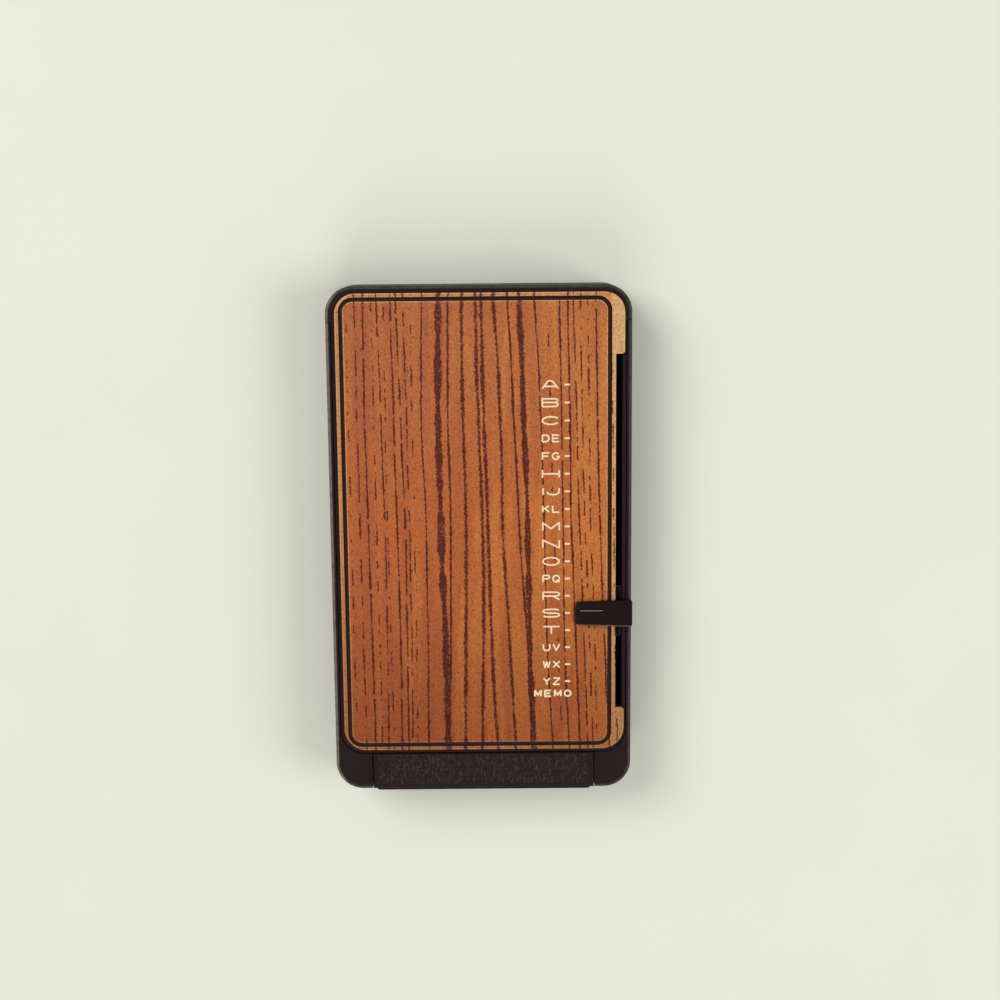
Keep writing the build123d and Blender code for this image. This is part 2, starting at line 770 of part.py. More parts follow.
def cover_frame():
    """The plastic lid under the plate."""
    outline = rect(-frame_x, frame_x, frame_front_y, hinge_y)
    outline = fillet(corners_at(outline, y=frame_front_y), lid_opening_corner_radius - frame_gap)
    frame = slab(outline, frame_under_z, plate_seat_z)
    frame += lid_rear()
    # the slot that the selector's web slides in
    slot = rect(notch_x, carriage_outer_x + frame_slot_gap, notch_front_y, notch_rear_y)
    frame -= slab(slot, frame_under_z - cut_past, rim_z)
    # the plate's seat
    seat_y = plate_rear_y + plate_seat_gap
    seat = rect(plate_left_x - plate_seat_gap, plate_right_x + plate_seat_gap, 0, seat_y)
    seat = fillet(corners_at(seat, y=seat_y), plate_rear_radius)
    frame -= slab(seat, plate_seat_z, rim_z + cut_past)
    past_side = half_width + cut_past
    frame -= x_rod(hinge_rod_radius + hinge_running_gap, -past_side, past_side, hinge_y, hinge_z)
    # room for the card rings, which stand round the hinge
    half_room = ring_hub_width / 2 + ring_room_gap
    room_radius = ring_radius + ring_wire_radius + ring_room_gap
    frame -= both_sides(x_rod(room_radius, ring_x - half_room, ring_x + half_room, hinge_y, hinge_z))
    # seats for the rack and for the carriage's guide
    frame -= rack_blank()
    frame -= block(
        guide_x - guide_width / 2 - guide_clearance,
        guide_x + guide_width / 2 + guide_clearance,
        memo_row - carriage_half_length,
        card_rows[0] + carriage_half_length,
        frame_under_z,
        frame_under_z + guide_height,
    )
    for x, y in catch_rivet_places():
        frame -= z_rod(latch_rivet_radius + fixed_fit, x, y, 0, rim_z)
        frame -= z_rod(latch_rivet_head_radius + fixed_fit, x, y, catch_rivet_head_z, rim_z)
    return frame


def rack_blank():
    """The rack before its notches, let into the frame's underside."""
    return block(
        rack_x - rack_width / 2,
        rack_x + rack_width / 2,
        memo_row - rack_end,
        card_rows[0] + rack_end,
        frame_under_z,
        frame_under_z + rack_thickness,
    )


def selector_rack():
    """The rack, with a notch for every mark of the scale."""
    rack = rack_blank()
    for y in card_rows + [memo_row]:
        rack -= side_profile(
            [
                (y - rack_notch_width / 2, frame_under_z),
                (y + rack_notch_width / 2, frame_under_z),
                (y + rack_notch_floor / 2, frame_under_z + rack_notch_depth),
                (y - rack_notch_floor / 2, frame_under_z + rack_notch_depth),
            ],
            rack_x - rack_width,
            rack_x + rack_width,
        )
    return rack


# ---- selector
def selector_pointer():
    """The pointer, with the web that goes down through the notch."""
    right = pointer_width_right / 2
    left = pointer_width_left / 2
    arm = make_face(
        Polyline(
            (pointer_left_x, selector_y - left),
            (pointer_right_x, selector_y - right),
            (pointer_right_x, selector_y + right),
            (pointer_left_x, selector_y + left),
            close=True,
        )
    )
    arm = fillet(arm.vertices(), pointer_corner_radius)
    low = plate_top_z + pointer_above_plate
    high = low + pointer_thickness
    pointer = slab(arm, low, high)
    pointer = fillet(edges_at(pointer, high), pointer_edge_radius)
    pointer += block(
        web_x,
        carriage_outer_x,
        selector_y - web_half_length,
        selector_y + web_half_length,
        carriage_under_z,
        low,
    )
    return pointer - lifter_leg(fixed_fit)


def carriage():
    """The sliding plate under the frame, which the pointer's web is joined to."""
    plate = block(
        carriage_inner_x,
        carriage_outer_x,
        selector_y - carriage_half_length,
        selector_y + carriage_half_length,
        carriage_under_z,
        carriage_top_z,
    )
    plate = fillet(plate.edges().filter_by(Axis.Z), carriage_corner_radius)
    plate += block(
        guide_x - guide_width / 2,
        guide_x + guide_width / 2,
        selector_y - carriage_half_length + guide_setback,
        selector_y + carriage_half_length - guide_setback,
        carriage_top_z,
        frame_under_z + guide_height - guide_clearance,
    )
    # the web's seat, open at the carriage's outer edge
    plate -= block(
        web_x,
        carriage_outer_x + cut_past,
        selector_y - web_half_length,
        selector_y + web_half_length,
        carriage_under_z - cut_past,
        carriage_top_z + cut_past,
    )
    # the detent spring's well
    return plate - block(
        rack_x - detent_width / 2 - detent_well_gap,
        rack_x + detent_width / 2 + detent_well_gap,
        selector_y - detent_half_length - detent_well_gap,
        selector_y + detent_half_length + detent_well_gap,
        detent_floor_z,
        carriage_top_z + cut_past,
    )


def detent_spring():
    """A bowed steel leaf, whose middle stands in one notch of the rack."""
    low = detent_floor_z
    nose = frame_under_z + rack_notch_depth - detent_in_notch_gap - detent_thickness
    knee = frame_under_z - detent_below_frame
    under = [
        (-detent_half_length, low),
        (-detent_half_length + detent_foot, low),
        (-detent_knee_half, knee),
        (-detent_nose_half, nose),
        (detent_nose_half, nose),
        (detent_knee_half, knee),
        (detent_half_length - detent_foot, low),
        (detent_half_length, low),
    ]
    over = [(y, z + detent_thickness) for y, z in reversed(under)]
    return side_profile(
        [(selector_y + y, z) for y, z in under + over],
        rack_x - detent_width / 2,
        rack_x + detent_width / 2,
    )


def lifter_leg(clearance=0.0):
    """The lifter's upright, let into the web."""
    middle = (web_x + carriage_outer_x) / 2
    return block(
        middle - lifter_thickness / 2 - clearance,
        middle + lifter_thickness / 2 + clearance,
        selector_y - lifter_half_width - clearance,
        selector_y + lifter_half_width + clearance,
        lifter_under_z,
        frame_under_z + lifter_in_web + clearance,
    )


def card_lifter():
    """A bent steel strip: down past the cards' tabs, then in under them."""
    leg = lifter_leg()
    finger = block(
        lifter_inner_x,
        (web_x + carriage_outer_x + lifter_thickness) / 2,
        selector_y - lifter_half_width,
        selector_y + lifter_half_width,
        lifter_under_z,
        lifter_under_z + lifter_thickness,
    )
    lifter = leg + finger
    outer = lifter.edges().filter_by(Axis.Y).group_by(Axis.Z)[0].sort_by(Axis.X)[-1]
    return fillet(outer, lifter_thickness * 0.8)


# ---- push bar and latch
def push_bar():
    """The rocking bar at the front: top, front face with its lip, lugs and spring seats."""
    rear = opening_front_y - bar_rear_gap
    bar = block(
        -bar_half_width, bar_half_width, -half_length, rear, bar_bottom_z, bar_top_z
    )
    bar = fillet(edges_at(bar, bar_top_z), bar_edge_radius)
    inside_x = bar_half_width - bar_wall
    inside_front_y = -half_length + bar_wall
    past_rear = rear + cut_past
    inside_z = bar_top_z - bar_wall
    bar -= block(-inside_x, inside_x, inside_front_y, past_rear, 0, inside_z)
    # the ends are cut away below the deck, behind the front face
    bar -= block(-half_width, half_width, inside_front_y, past_rear, 0, inside_z - bar_end_depth)
    lip_x = bar_half_width - bar_lip_from_end
    lip = make_face(
        Polyline(
            (-lip_x - bar_lip, -half_length),
            (-lip_x, -half_length - bar_lip),
            (lip_x, -half_length - bar_lip),
            (lip_x + bar_lip, -half_length),
            close=True,
        )
    )
    bar += slab(lip, bar_bottom_z, bar_top_z - bar_lip_below_top)
    grained_x = bar_half_width - bar_pad_from_end
    grained_front_y = -half_length - bar_lip + bar_pad_front
    grained = rect(-grained_x, grained_x, grained_front_y, rear - bar_pad_rear)
    grained = fillet(grained.vertices(), bar_edge_radius)
    bar += slab(grained, bar_top_z - bar_rooting, bar_top_z + bar_pad_height)
    bar += both_sides(pivot_lug())
    bar += both_sides(
        z_rod(
            bar_spring_radius + bar_spring_seat_wall,
            bar_spring_x,
            bar_spring_y,
            bar_spring_top_z,
            bar_top_z - bar_rooting,
        )
    )
    bar += both_sides(
        z_rod(
            spigot_radius,
            bar_spring_x,
            bar_spring_y,
            bar_spring_top_z - spigot_length,
            bar_spring_top_z,
        )
    )
    bar += hook_rib()
    # ears that stop the bar under the deck
    bar += both_sides(
        block(
            bar_half_width - bar_rooting,
            bar_half_width + bar_side_gap + bar_ear_reach,
            -half_length + bar_ear_from_front,
            -half_length + bar_ear_from_front + bar_ear_length,
            deck_under_z - latch_gap - bar_ear_thickness,
            deck_under_z - latch_gap,
        )
    )
    for x, z in hook_rivet_places():
        bar -= y_rod(latch_rivet_radius + fixed_fit, x, -half_length, hinge_y, z)
    return bar - x_rod(
        pivot_pin_radius + pivot_running_gap, -half_width, half_width, pivot_y, pivot_z
    )


def pivot_lug():
    """The right-hand lug of the push bar, down to its pin."""
    x1 = bar_half_width - pivot_lug_inset
    x0 = x1 - pivot_lug_thickness
    lug = x_rod(pivot_lug_radius, x0, x1, pivot_y, pivot_z)
    front_y = pivot_y - pivot_lug_radius
    return lug + block(
        x0, x1, front_y, pivot_y + pivot_lug_neck, pivot_z, bar_top_z - bar_rooting
    )


def hook_rib():
    """The rib behind the bar's top that carries the latch hook."""
    rear = hook_toe_y - latch_thickness
    return block(
        -hook_half_width - hook_rib_beyond,
        hook_half_width + hook_rib_beyond,
        rear - hook_rib_thickness,
        rear,
        hook_top_z - hook_height - hook_rib_below,
        bar_top_z - bar_rooting,
    )


def hook_rivet_places():
    """Where the hook's rivets are, as (x, z)."""
    return [(x, hook_top_z - hook_rivet_depth) for x in (-hook_rivet_x, hook_rivet_x)]


def latch_hook():
    """The steel hook on the push bar, its toe to the rear."""
    leg = block(
        -hook_half_width,
        hook_half_width,
        hook_toe_y - latch_thickness,
        hook_toe_y,
        hook_top_z - hook_height,
        hook_top_z,
    )
    toe = block(
        -hook_half_width,
        hook_half_width,
        hook_toe_y,
        hook_toe_y + hook_toe_reach,
        hook_toe_under_z,
        hook_top_z,
    )
    hook = leg + toe
    nose = hook.edges().filter_by(Axis.X).group_by(Axis.Y)[-1].sort_by(Axis.Z)[-1]
    hook = chamfer(nose, hook_toe_height * 0.6)
    for x, z in hook_rivet_places():
        hook -= y_rod(latch_rivet_radius + fixed_fit, x, -half_length, hinge_y, z)
    return hook


def hook_rivets():
    """Two rivets through the hook and its rib."""
    rear = hook_toe_y
    front = rear - latch_thickness - hook_rib_thickness
    return [
        y_rod(latch_rivet_radius, x, front, rear, z)
        + y_rod(latch_rivet_head_radius, x, front - latch_rivet_head_height, front, z)
        for x, z in hook_rivet_places()
    ]


def cover_catch():
    """The steel catch under the lid's front edge, its toe under the hook's."""
    flange = block(
        -catch_half_width,
        catch_half_width,
        catch_leg_y,
        catch_leg_y + catch_flange,
        frame_under_z - latch_thickness,
        frame_under_z,
    )
    leg = block(
        -catch_half_width,
        catch_half_width,
        catch_leg_y,
        catch_leg_y + latch_thickness,
        catch_toe_top_z - hook_toe_height,
        frame_under_z,
    )
    toe = block(
        -catch_half_width,
        catch_half_width,
        catch_toe_front_y,
        catch_leg_y + latch_thickness,
        catch_toe_top_z - hook_toe_height,
        catch_toe_top_z,
    )
    catch = flange + leg + toe
    nose = catch.edges().filter_by(Axis.X).group_by(Axis.Y)[0].sort_by(Axis.Z)[0]
    catch = chamfer(nose, hook_toe_height * 0.5)
    for x, y in catch_rivet_places():
        catch -= z_rod(latch_rivet_radius + fixed_fit, x, y, 0, rim_z)
    return catch


def catch_rivet_places():
    """Where the catch's rivets are, in plan."""
    x = catch_half_width - catch_rivet_from_end
    y = catch_leg_y + catch_flange / 2 + catch_rivet_behind_middle
    return [(-x, y), (x, y)]


def catch_rivets():
    """Two rivets that hold the catch, their heads under the plate."""
    return [
        z_rod(latch_rivet_radius, x, y, frame_under_z - latch_thickness, catch_rivet_head_z)
        + z_rod(
            latch_rivet_head_radius, x, y, catch_rivet_head_z, plate_seat_z - catch_rivet_head_gap
        )
        for x, y in catch_rivet_places()
    ]


def bar_pivot_pin():
    """The pin that the push bar rocks on."""
    reach = bar_half_width + pivot_boss_gap + pivot_boss_thickness
    pin = x_rod(pivot_pin_radius, -reach, reach, pivot_y, pivot_z)
    return chamfer(pin.edges().filter_by(GeomType.CIRCLE), pivot_pin_chamfer)


def all_nodes():
    """Every node by name, as a solid or a list of solids."""
    right_spring = lift_spring()
    nodes = {
        "base_tray": base_tray(),
        "hinge_bracket": hinge_bracket(),
        "bracket_rivets": bracket_rivets(),
        "hinge_rod": hinge_rod(),
        "rod_clips": rod_clips(),
        "lift_spring_right": right_spring,
        "lift_spring_left": mirror(right_spring, about=Plane.YZ),
        "card_ring_left": card_ring(-ring_x),
        "card_ring_right": card_ring(ring_x),
        "ring_hubs": [ring_hub(-ring_x), ring_hub(ring_x)],
        "memo_board": memo_board(),
        "memo_pad": memo_pad(),
        "bar_pivot_pin": bar_pivot_pin(),
        "bar_spring_left": bar_spring(-bar_spring_x),
        "bar_spring_right": bar_spring(bar_spring_x),
        "cover_frame": cover_frame(),
        "wood_plate": wood_plate(),
        "selector_rack": selector_rack(),
        "cover_catch": cover_catch(),
        "catch_rivets": catch_rivets(),
        "selector_pointer": selector_pointer(),
        "selector_carriage": carriage(),
        "card_lifter": card_lifter(),
        "detent_spring": detent_spring(),
        "push_bar": push_bar(),
        "latch_hook": latch_hook(),
        "hook_rivets": hook_rivets(),
    }
    corners = ("front_left", "front_right", "rear_left", "rear_right")
    for name, (x, y) in zip(corners, foot_places()):
        nodes[f"foot_{name}"] = foot(x, y)
    for row, letters in enumerate(card_names):
        nodes[f"card_{letters}"] = card(row)
    return nodes


def report_springs():
    """Print each spring's least gap to itself."""
    print(f"lift spring: {lift_turn_pitch - lift_wire:.2f} mm between turns")
    print(f"bar spring: {bar_spring_pitch() - bar_spring_wire:.2f} mm between turns")


os.makedirs("parts", exist_ok=True)
for name, shape in all_nodes().items():
    solids = shape if isinstance(shape, list) else [shape]
    solids = [solid for item in solids for solid in item.solids()]
    export_step(Compound(children=solids) if len(solids) > 1 else solids[0], f"parts/{name}.step")
report_springs()
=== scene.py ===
"""Dresses a pop up telephone index: finishes, lettering, springs and the other pieces that show.

Laid out as an add-on and run as a script. Sizes are in millimetres, and MM turns them into metres.
"""

import json
import random
from contextlib import contextmanager
from math import asin, atan2, cos, hypot, pi, radians, sin, sqrt

import bmesh
import bpy
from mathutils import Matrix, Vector

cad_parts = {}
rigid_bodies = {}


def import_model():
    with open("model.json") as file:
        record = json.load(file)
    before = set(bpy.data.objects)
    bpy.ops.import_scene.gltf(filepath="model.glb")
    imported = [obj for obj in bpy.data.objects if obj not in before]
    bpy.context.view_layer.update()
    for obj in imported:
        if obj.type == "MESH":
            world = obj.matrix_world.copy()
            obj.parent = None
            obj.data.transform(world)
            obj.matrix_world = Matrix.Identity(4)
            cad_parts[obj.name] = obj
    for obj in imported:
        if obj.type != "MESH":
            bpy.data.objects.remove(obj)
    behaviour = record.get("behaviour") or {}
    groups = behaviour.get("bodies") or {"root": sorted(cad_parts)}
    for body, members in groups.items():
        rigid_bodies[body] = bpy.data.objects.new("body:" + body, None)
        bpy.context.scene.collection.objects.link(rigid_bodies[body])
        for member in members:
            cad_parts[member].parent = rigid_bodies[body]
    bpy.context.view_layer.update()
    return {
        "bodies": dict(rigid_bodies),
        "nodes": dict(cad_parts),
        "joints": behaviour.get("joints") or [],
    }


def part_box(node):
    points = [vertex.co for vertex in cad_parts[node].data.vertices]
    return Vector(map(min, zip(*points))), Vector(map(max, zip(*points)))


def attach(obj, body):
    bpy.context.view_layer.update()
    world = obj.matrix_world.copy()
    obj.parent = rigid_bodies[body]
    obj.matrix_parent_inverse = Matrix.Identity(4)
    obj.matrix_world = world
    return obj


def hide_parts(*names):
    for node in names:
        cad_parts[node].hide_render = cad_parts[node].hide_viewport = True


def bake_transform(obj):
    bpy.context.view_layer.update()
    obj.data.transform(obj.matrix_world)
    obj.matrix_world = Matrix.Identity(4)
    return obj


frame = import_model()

bl_info = {
    "name": "Pop up telephone index",
    "version": (1, 0, 0),
    "blender": (4, 5, 0),
    "location": "View3D > Sidebar > Telephone index",
    "description": "Makes the finishes and the visible pieces of a pop up telephone index",
    "category": "Object",
}

MM = 0.001
NODES = frame["nodes"]
CARDS = [name for name in sorted(NODES) if name.startswith("card_") and name[5:].isalpha()]
CARDS = [name for name in CARDS if name in frame["bodies"]]
HINGE = next(Vector(j["pos_m"]) / MM for j in frame["joints"] if j["name"] == "cover_hinge")


def tone(red, green, blue):
    """A colour as it looks, 0 to 255, in the linear numbers that shaders take."""
    shares = [channel / 255 for channel in (red, green, blue)]
    return tuple(s / 12.92 if s <= 0.04045 else ((s + 0.055) / 1.055) ** 2.4 for s in shares)


def low(node):
    """A node's lowest corner, in mm."""
    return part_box(node)[0] / MM


def high(node):
    """A node's highest corner, in mm."""
    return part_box(node)[1] / MM


def corners(node):
    """A node's lowest and highest corners, in mm."""
    return low(node), high(node)


def millimetres(label, text, default):
    """A size that a user may change."""
    return bpy.props.FloatProperty(name=label, description=f"{text}, mm", default=default, min=0.0)


def colour(label, text, *channels):
    """A colour that a user may change, given as it looks."""
    return bpy.props.FloatVectorProperty(
        name=label,
        description=f"Colour of the {text}",
        default=tone(*channels),
        subtype="COLOR",
        size=3,
        min=0.0,
        max=1.0,
    )


def share(label, text, default):
    """A number from 0 to 1 that a user may change."""
    return bpy.props.FloatProperty(
        name=label, description=text, default=default, min=0.0, max=1.0, subtype="FACTOR"
    )


# ---- settings
class StageSettings(bpy.types.PropertyGroup):
    """The table, the lights and the camera."""

    floor_colour: colour("Floor", "table top", 219, 221, 207)
    sky_level: share("Sky", "Strength of the even light from all round", 0.36)
    lamp_power: bpy.props.FloatProperty(
        name="Lamps", description="Power of a lamp whose share is 1, in watts", default=12.9, min=0.0
    )
    camera_lens: bpy.props.FloatProperty(
        name="Lens", description="Focal length of the camera, in mm", default=57.6, unit="CAMERA"
    )


class PlateSettings(bpy.types.PropertyGroup):
    """The wood-grain plate on the lid."""

    wood: colour("Wood", "wood's ground", 172, 97, 52)
    gold: colour("Golden wood", "wood's lighter, yellower parts", 186, 114, 57)
    red: colour("Red wood", "wood's redder parts", 160, 87, 54)
    stain: colour("Stain", "reddish stain round the streaks", 128, 58, 36)
    streak: colour("Streaks", "dark streaks", 72, 26, 19)
    margin: colour("Margin", "margin outside the frame line", 200, 155, 104)
    line: colour("Frame line", "frame line at its outer edge", 26, 10, 8)
    line_light: colour("Frame line, inner", "frame line's inner half", 42, 23, 19)
    line_inset: millimetres("Line inset", "From the plate's edge to the frame line", 1.35)
    line_width: millimetres("Line width", "Width of the frame line", 1.55)
    line_radius: millimetres("Line corner", "Outer corner radius of the frame line", 5.2)
    line_right_inset: millimetres("Right inset", "From the plate's right edge to the line", 4.65)


class ScaleSettings(bpy.types.PropertyGroup):
    """The alphabet down the right of the plate."""

    ink: colour("Ink", "letters", 236, 213, 174)
    letter_x: millimetres("Letters at", "Where the letters' left strokes are", 22.6)
    letter_width: millimetres("Letter width", "Width of one row of letters", 6.0)
    letter_height: millimetres("Letter height", "Height of the capitals", 2.8)
    letter_gap: millimetres("Letter gap", "Between the letters of a pair", 1.25)
    pair_height: millimetres("Pair height", "Height of the letters of a pair", 2.4)
    pen: millimetres("Stroke", "Width of the strokes", 0.58)
    tick_x: millimetres("Ticks at", "Where the ticks start", 30.6)
    tick_length: millimetres("Tick length", "Length of a tick", 1.9)
    memo_x: millimetres("MEMO at", "Where the word MEMO starts", 19.4)
    memo_width: millimetres("MEMO width", "Width of the word MEMO", 13.3)
    memo_height: millimetres("MEMO height", "Height of the word MEMO", 2.2)
    memo_gap: millimetres("MEMO gap", "Between the letters of MEMO", 1.4)
    memo_step: millimetres("MEMO step", "From the last row to MEMO", 4.64)


class CaseSettings(bpy.types.PropertyGroup):
    """The moulded case, its lid frame and the selector."""

    plastic: colour("Case", "case", 31, 17, 17)
    # the worn edge colour is wear and a painted highlight on the case's rounded rim
    edge: colour("Worn and highlit edge", "rubbed rims and their painted highlight", 108, 98, 86)
    pointer: colour("Pointer", "selector", 27, 9, 8)
    white: colour("White", "rack and the ring hubs", 226, 222, 208)
    rubber: colour("Rubber", "feet", 30, 29, 29)


class BarSettings(bpy.types.PropertyGroup):
    """The push bar's leather-grained field."""

    # painted highlight on the grain's ridges and painted shade in its valleys
    ridge: colour("Ridges", "grain's ridges", 54, 42, 44)
    valley: colour("Valleys", "grain's valleys", 25, 12, 13)
    grain_depth: millimetres("Grain depth", "Depth of the leather grain", 0.2)
    grain_size: millimetres("Grain size", "Width of one wrinkle", 0.6)
    grain_run: bpy.props.FloatProperty(
        name="Grain run", description="A wrinkle's length for its width", default=3.2, min=1.0
    )
    leather_end: millimetres("Leather end", "From the bar's ears to the leather", 4.1)
    leather_front: millimetres("Leather front", "From the bar's lip to the leather", 2.2)
    leather_rear: millimetres("Leather rear", "From the lid's front edge to the leather", 0.9)


class CardSettings(bpy.types.PropertyGroup):
    """The index cards and the memo pad."""

    stock: colour("Card", "cards", 233, 226, 203)
    rule: colour("Rules", "writing lines", 116, 146, 168)
    divider: colour("Divider", "line between names and numbers", 190, 96, 84)
    print_ink: colour("Print", "cards' letters", 48, 42, 44)
    paper: colour("Paper", "memo paper", 240, 238, 228)
    board: colour("Board", "backing board", 150, 142, 128)
    rule_step: millimetres("Rule step", "From one writing line to the next", 6.5)


class MetalSettings(bpy.types.PropertyGroup):
    """The steel parts."""

    zinc: colour("Zinc", "plated parts", 196, 198, 196)
    bright: colour("Bright steel", "rod, rings and lifter", 206, 206, 208)
    spring: colour("Spring steel", "springs", 150, 152, 156)


SETTINGS = {
    "index_stage": StageSettings,
    "index_plate": PlateSettings,
    "index_scale": ScaleSettings,
    "index_case": CaseSettings,
    "index_bar": BarSettings,
    "index_cards": CardSettings,
    "index_metal": MetalSettings,
}


CASE_CORNER_RADIUS = 10.0


# ---- shaders
class Shader:
    """A material and the nodes added to it, in the order of their adding."""

    def __init__(self, name):
        self.material = bpy.data.materials.new(name)
        self.material.use_nodes = True
        self.tree = self.material.node_tree
        self.tree.nodes.clear()
        position = self.add("ShaderNodeTexCoord").outputs["Object"]
        self.place = self.vector("SCALE", position, Scale=1 / MM)
        split = self.add("ShaderNodeSeparateXYZ", Vector=self.place)
        self.x, self.y, self.z = split.outputs

    def add(self, kind, **inputs):
        """Adds a node. Inputs are given by their sockets' names."""
        node = self.tree.nodes.new(kind)
        count = len(self.tree.nodes)
        node.location = (count % 12 * 200, -(count // 12) * 260)
        for name, value in inputs.items():
            self.put(node.inputs[name.replace("_", " ")], value)
        return node

    def put(self, socket, value):
        """Links or sets one input."""
        if isinstance(value, bpy.types.NodeSocket):
            self.tree.links.new(value, socket)
        else:
            socket.default_value = value

    def math(self, operation, *values):
        """One step of arithmetic."""
        node = self.add("ShaderNodeMath")
        node.operation = operation
        for socket, value in zip(node.inputs, values):
            self.put(socket, value)
        return node.outputs[0]

    def times(self, first, *others):
        """All the values multiplied."""
        for other in others:
            first = self.math("MULTIPLY", first, other)
        return first

    def most(self, first, *others):
        """The greatest of the values."""
        for other in others:
            first = self.math("MAXIMUM", first, other)
        return first

    def less(self, first, second):
        """The second value taken from the first."""
        return self.math("SUBTRACT", first, second)

    def vector(self, operation, *values, **inputs):
        """One step of arithmetic on a vector."""
        node = self.add("ShaderNodeVectorMath")
        node.operation = operation
        for socket, value in zip(node.inputs, values):
            self.put(socket, value)
        for name, value in inputs.items():
            self.put(node.inputs[name], value)
        return node.outputs[0]

    def mix(self, amount, first, second, blend="MIX"):
        """A colour between two colours."""
        node = self.add("ShaderNodeMix")
        node.data_type = "RGBA"
        node.blend_type = blend
        for index, value in ((0, amount), (6, first), (7, second)):
            if isinstance(value, tuple) or hasattr(value, "r"):
                value = (*value, 1.0)
            self.put(node.inputs[index], value)
        return node.outputs[2]

    def step(self, value, start, end, first=0.0, second=1.0):
        """A smooth step from first to second while value goes from start to end."""
        ends = {"From_Min": start, "From_Max": end, "To_Min": first, "To_Max": second}
        node = self.add("ShaderNodeMapRange", Value=value, **ends)
        node.interpolation_type = "SMOOTHSTEP"
        return node.outputs["Result"]

    def mottled(self, body, amount, start, end, dull):
        """The body colour, down to a dull share of itself where amount is small."""
        return self.mix(self.step(amount, start, end), tuple(c * dull for c in body), tuple(body))

    def noise(self, size, detail=2.0, stretch=(1, 1, 1), place=None):
        """Soft noise from 0 to 1. Size is one lump's width in mm, drawn out by stretch."""
        spread = self.vector("DIVIDE", place or self.place, tuple(size * s for s in stretch))
        node = self.add("ShaderNodeTexNoise", Vector=spread, Scale=1.0, Detail=detail)
        return node.outputs["Fac"]

    def wave(self, value, size, seed, detail=1.0):
        """Noise along one line."""
        node = self.add("ShaderNodeTexNoise")
        node.noise_dimensions = "1D"
        shifted = self.math("ADD", self.math("DIVIDE", value, size), seed)
        self.put(node.inputs["W"], shifted)
        self.put(node.inputs["Scale"], 1.0)
        self.put(node.inputs["Detail"], detail)
        return node.outputs["Fac"]

    def bump(self, height, depth):
        """A normal bent by a height from 0 to 1, of a depth in mm."""
        node = self.add("ShaderNodeBump", Height=height, Strength=1.0, Distance=depth * MM)
        return node.outputs["Normal"]

    def rounded(self, lo, hi, radius):
        """Signed distance in mm to a rounded rectangle in plan, negative inside."""
        sides = []
        for value, first, last in ((self.x, lo[0], hi[0]), (self.y, lo[1], hi[1])):
            away = self.math("ABSOLUTE", self.less(value, (first + last) / 2))
            sides.append(self.less(away, (last - first) / 2 - radius))
        past = [self.most(side, 0.0) for side in sides]
        corner = self.math("SQRT", self.math("ADD", *[self.times(p, p) for p in past]))
        inside = self.math("MINIMUM", self.most(*sides), 0.0)
        return self.less(self.math("ADD", corner, inside), radius)

    def finish(self, base, roughness, metallic=0.0, specular=0.5, normal=None):
        """The surface itself."""
        surface = self.add("ShaderNodeBsdfPrincipled", Base_Color=base, Roughness=roughness)
        surface.inputs["Metallic"].default_value = metallic
        surface.inputs["Specular IOR Level"].default_value = specular
        if normal is not None:
            self.put(surface.inputs["Normal"], normal)
        output = self.add("ShaderNodeOutputMaterial")
        self.put(output.inputs["Surface"], surface.outputs["BSDF"])
        return self.material


def moulded(name, body, edge=None, sheen=0.17, rough=0.46, grain=0.012):
    """Moulded plastic: a fine sandy texture, slow changes of gloss, and on the case rubbed edges with a
    painted highlight.
    """
    shader = Shader(name)
    cloud = shader.noise(14.0, 3.0)
    sand = shader.noise(0.28, 2.0)
    base = shader.mottled(body, cloud, 0.3, 0.7, 0.72)
    if edge is not None:
        lo, hi = corners("base_tray")
        # the rim's light band is wear and a painted highlight on the case's rounded top edge
        rim = shader.step(shader.rounded(lo, hi, CASE_CORNER_RADIUS), -1.25, -0.85)
        upper = shader.step(shader.z, hi.z - 1.6, hi.z - 0.2)
        # painted highlight: the left rim, on the side of the strongest lamp, takes the most of the edge
        # colour
        left = shader.step(shader.x, lo.x + 5, lo.x + 2, 0.3, 1.0)
        scuffs = shader.step(shader.noise(3.2, 4.0), 0.3, 0.6, 0.6, 1.0)
        base = shader.mix(shader.times(rim, upper, left, scuffs), base, edge)
    gloss = shader.step(cloud, 0.25, 0.75, rough + 0.06, rough - 0.06)
    return shader.finish(base, gloss, specular=sheen, normal=shader.bump(sand, grain))


def brushed(name, body, rough=0.3, stretch=(12, 1, 1)):
    """Steel with fine drawn lines along one axis."""
    shader = Shader(name)
    lines = shader.noise(0.12, 2.0, stretch)
    cloud = shader.noise(6.0, 3.0)
    base = shader.mottled(body, cloud, 0.3, 0.75, 0.72)
    gloss = shader.step(lines, 0.2, 0.8, rough - 0.08, rough + 0.12)
    return shader.finish(base, gloss, metallic=1.0, normal=shader.bump(lines, 0.004))


def printed(name, body):
    """Ink or paint printed on a piece: nearly even, with a little mottle."""
    shader = Shader(name)
    mottle = shader.noise(0.5, 3.0)
    base = shader.mottled(body, mottle, 0.3, 0.7, 0.86)
    return shader.finish(base, 0.55, specular=0.2, normal=shader.bump(mottle, 0.006))


def dress(material, *nodes):
    """Gives CAD nodes a material."""
    for node in nodes:
        for slot in NODES[node].material_slots:
            slot.material = material


# ---- modelling by hand
def fresh(add, name, **options):
    """A new primitive, alone in the selection."""
    bpy.ops.object.select_all(action="DESELECT")
    add(**options)
    piece = bpy.context.object
    piece.name = name
    piece.data.name = name
    return piece


def only(piece):
    """Makes one piece the selected and active one."""
    bpy.ops.object.select_all(action="DESELECT")
    piece.select_set(True)
    bpy.context.view_layer.objects.active = piece


@contextmanager
def editing(piece):
    """Edit mode on one piece, with all of it selected at the start."""
    only(piece)
    bpy.ops.object.mode_set(mode="EDIT")
    bpy.ops.mesh.select_mode(type="VERT")
    bpy.ops.mesh.select_all(action="SELECT")
    yield
    bpy.ops.object.mode_set(mode="OBJECT")


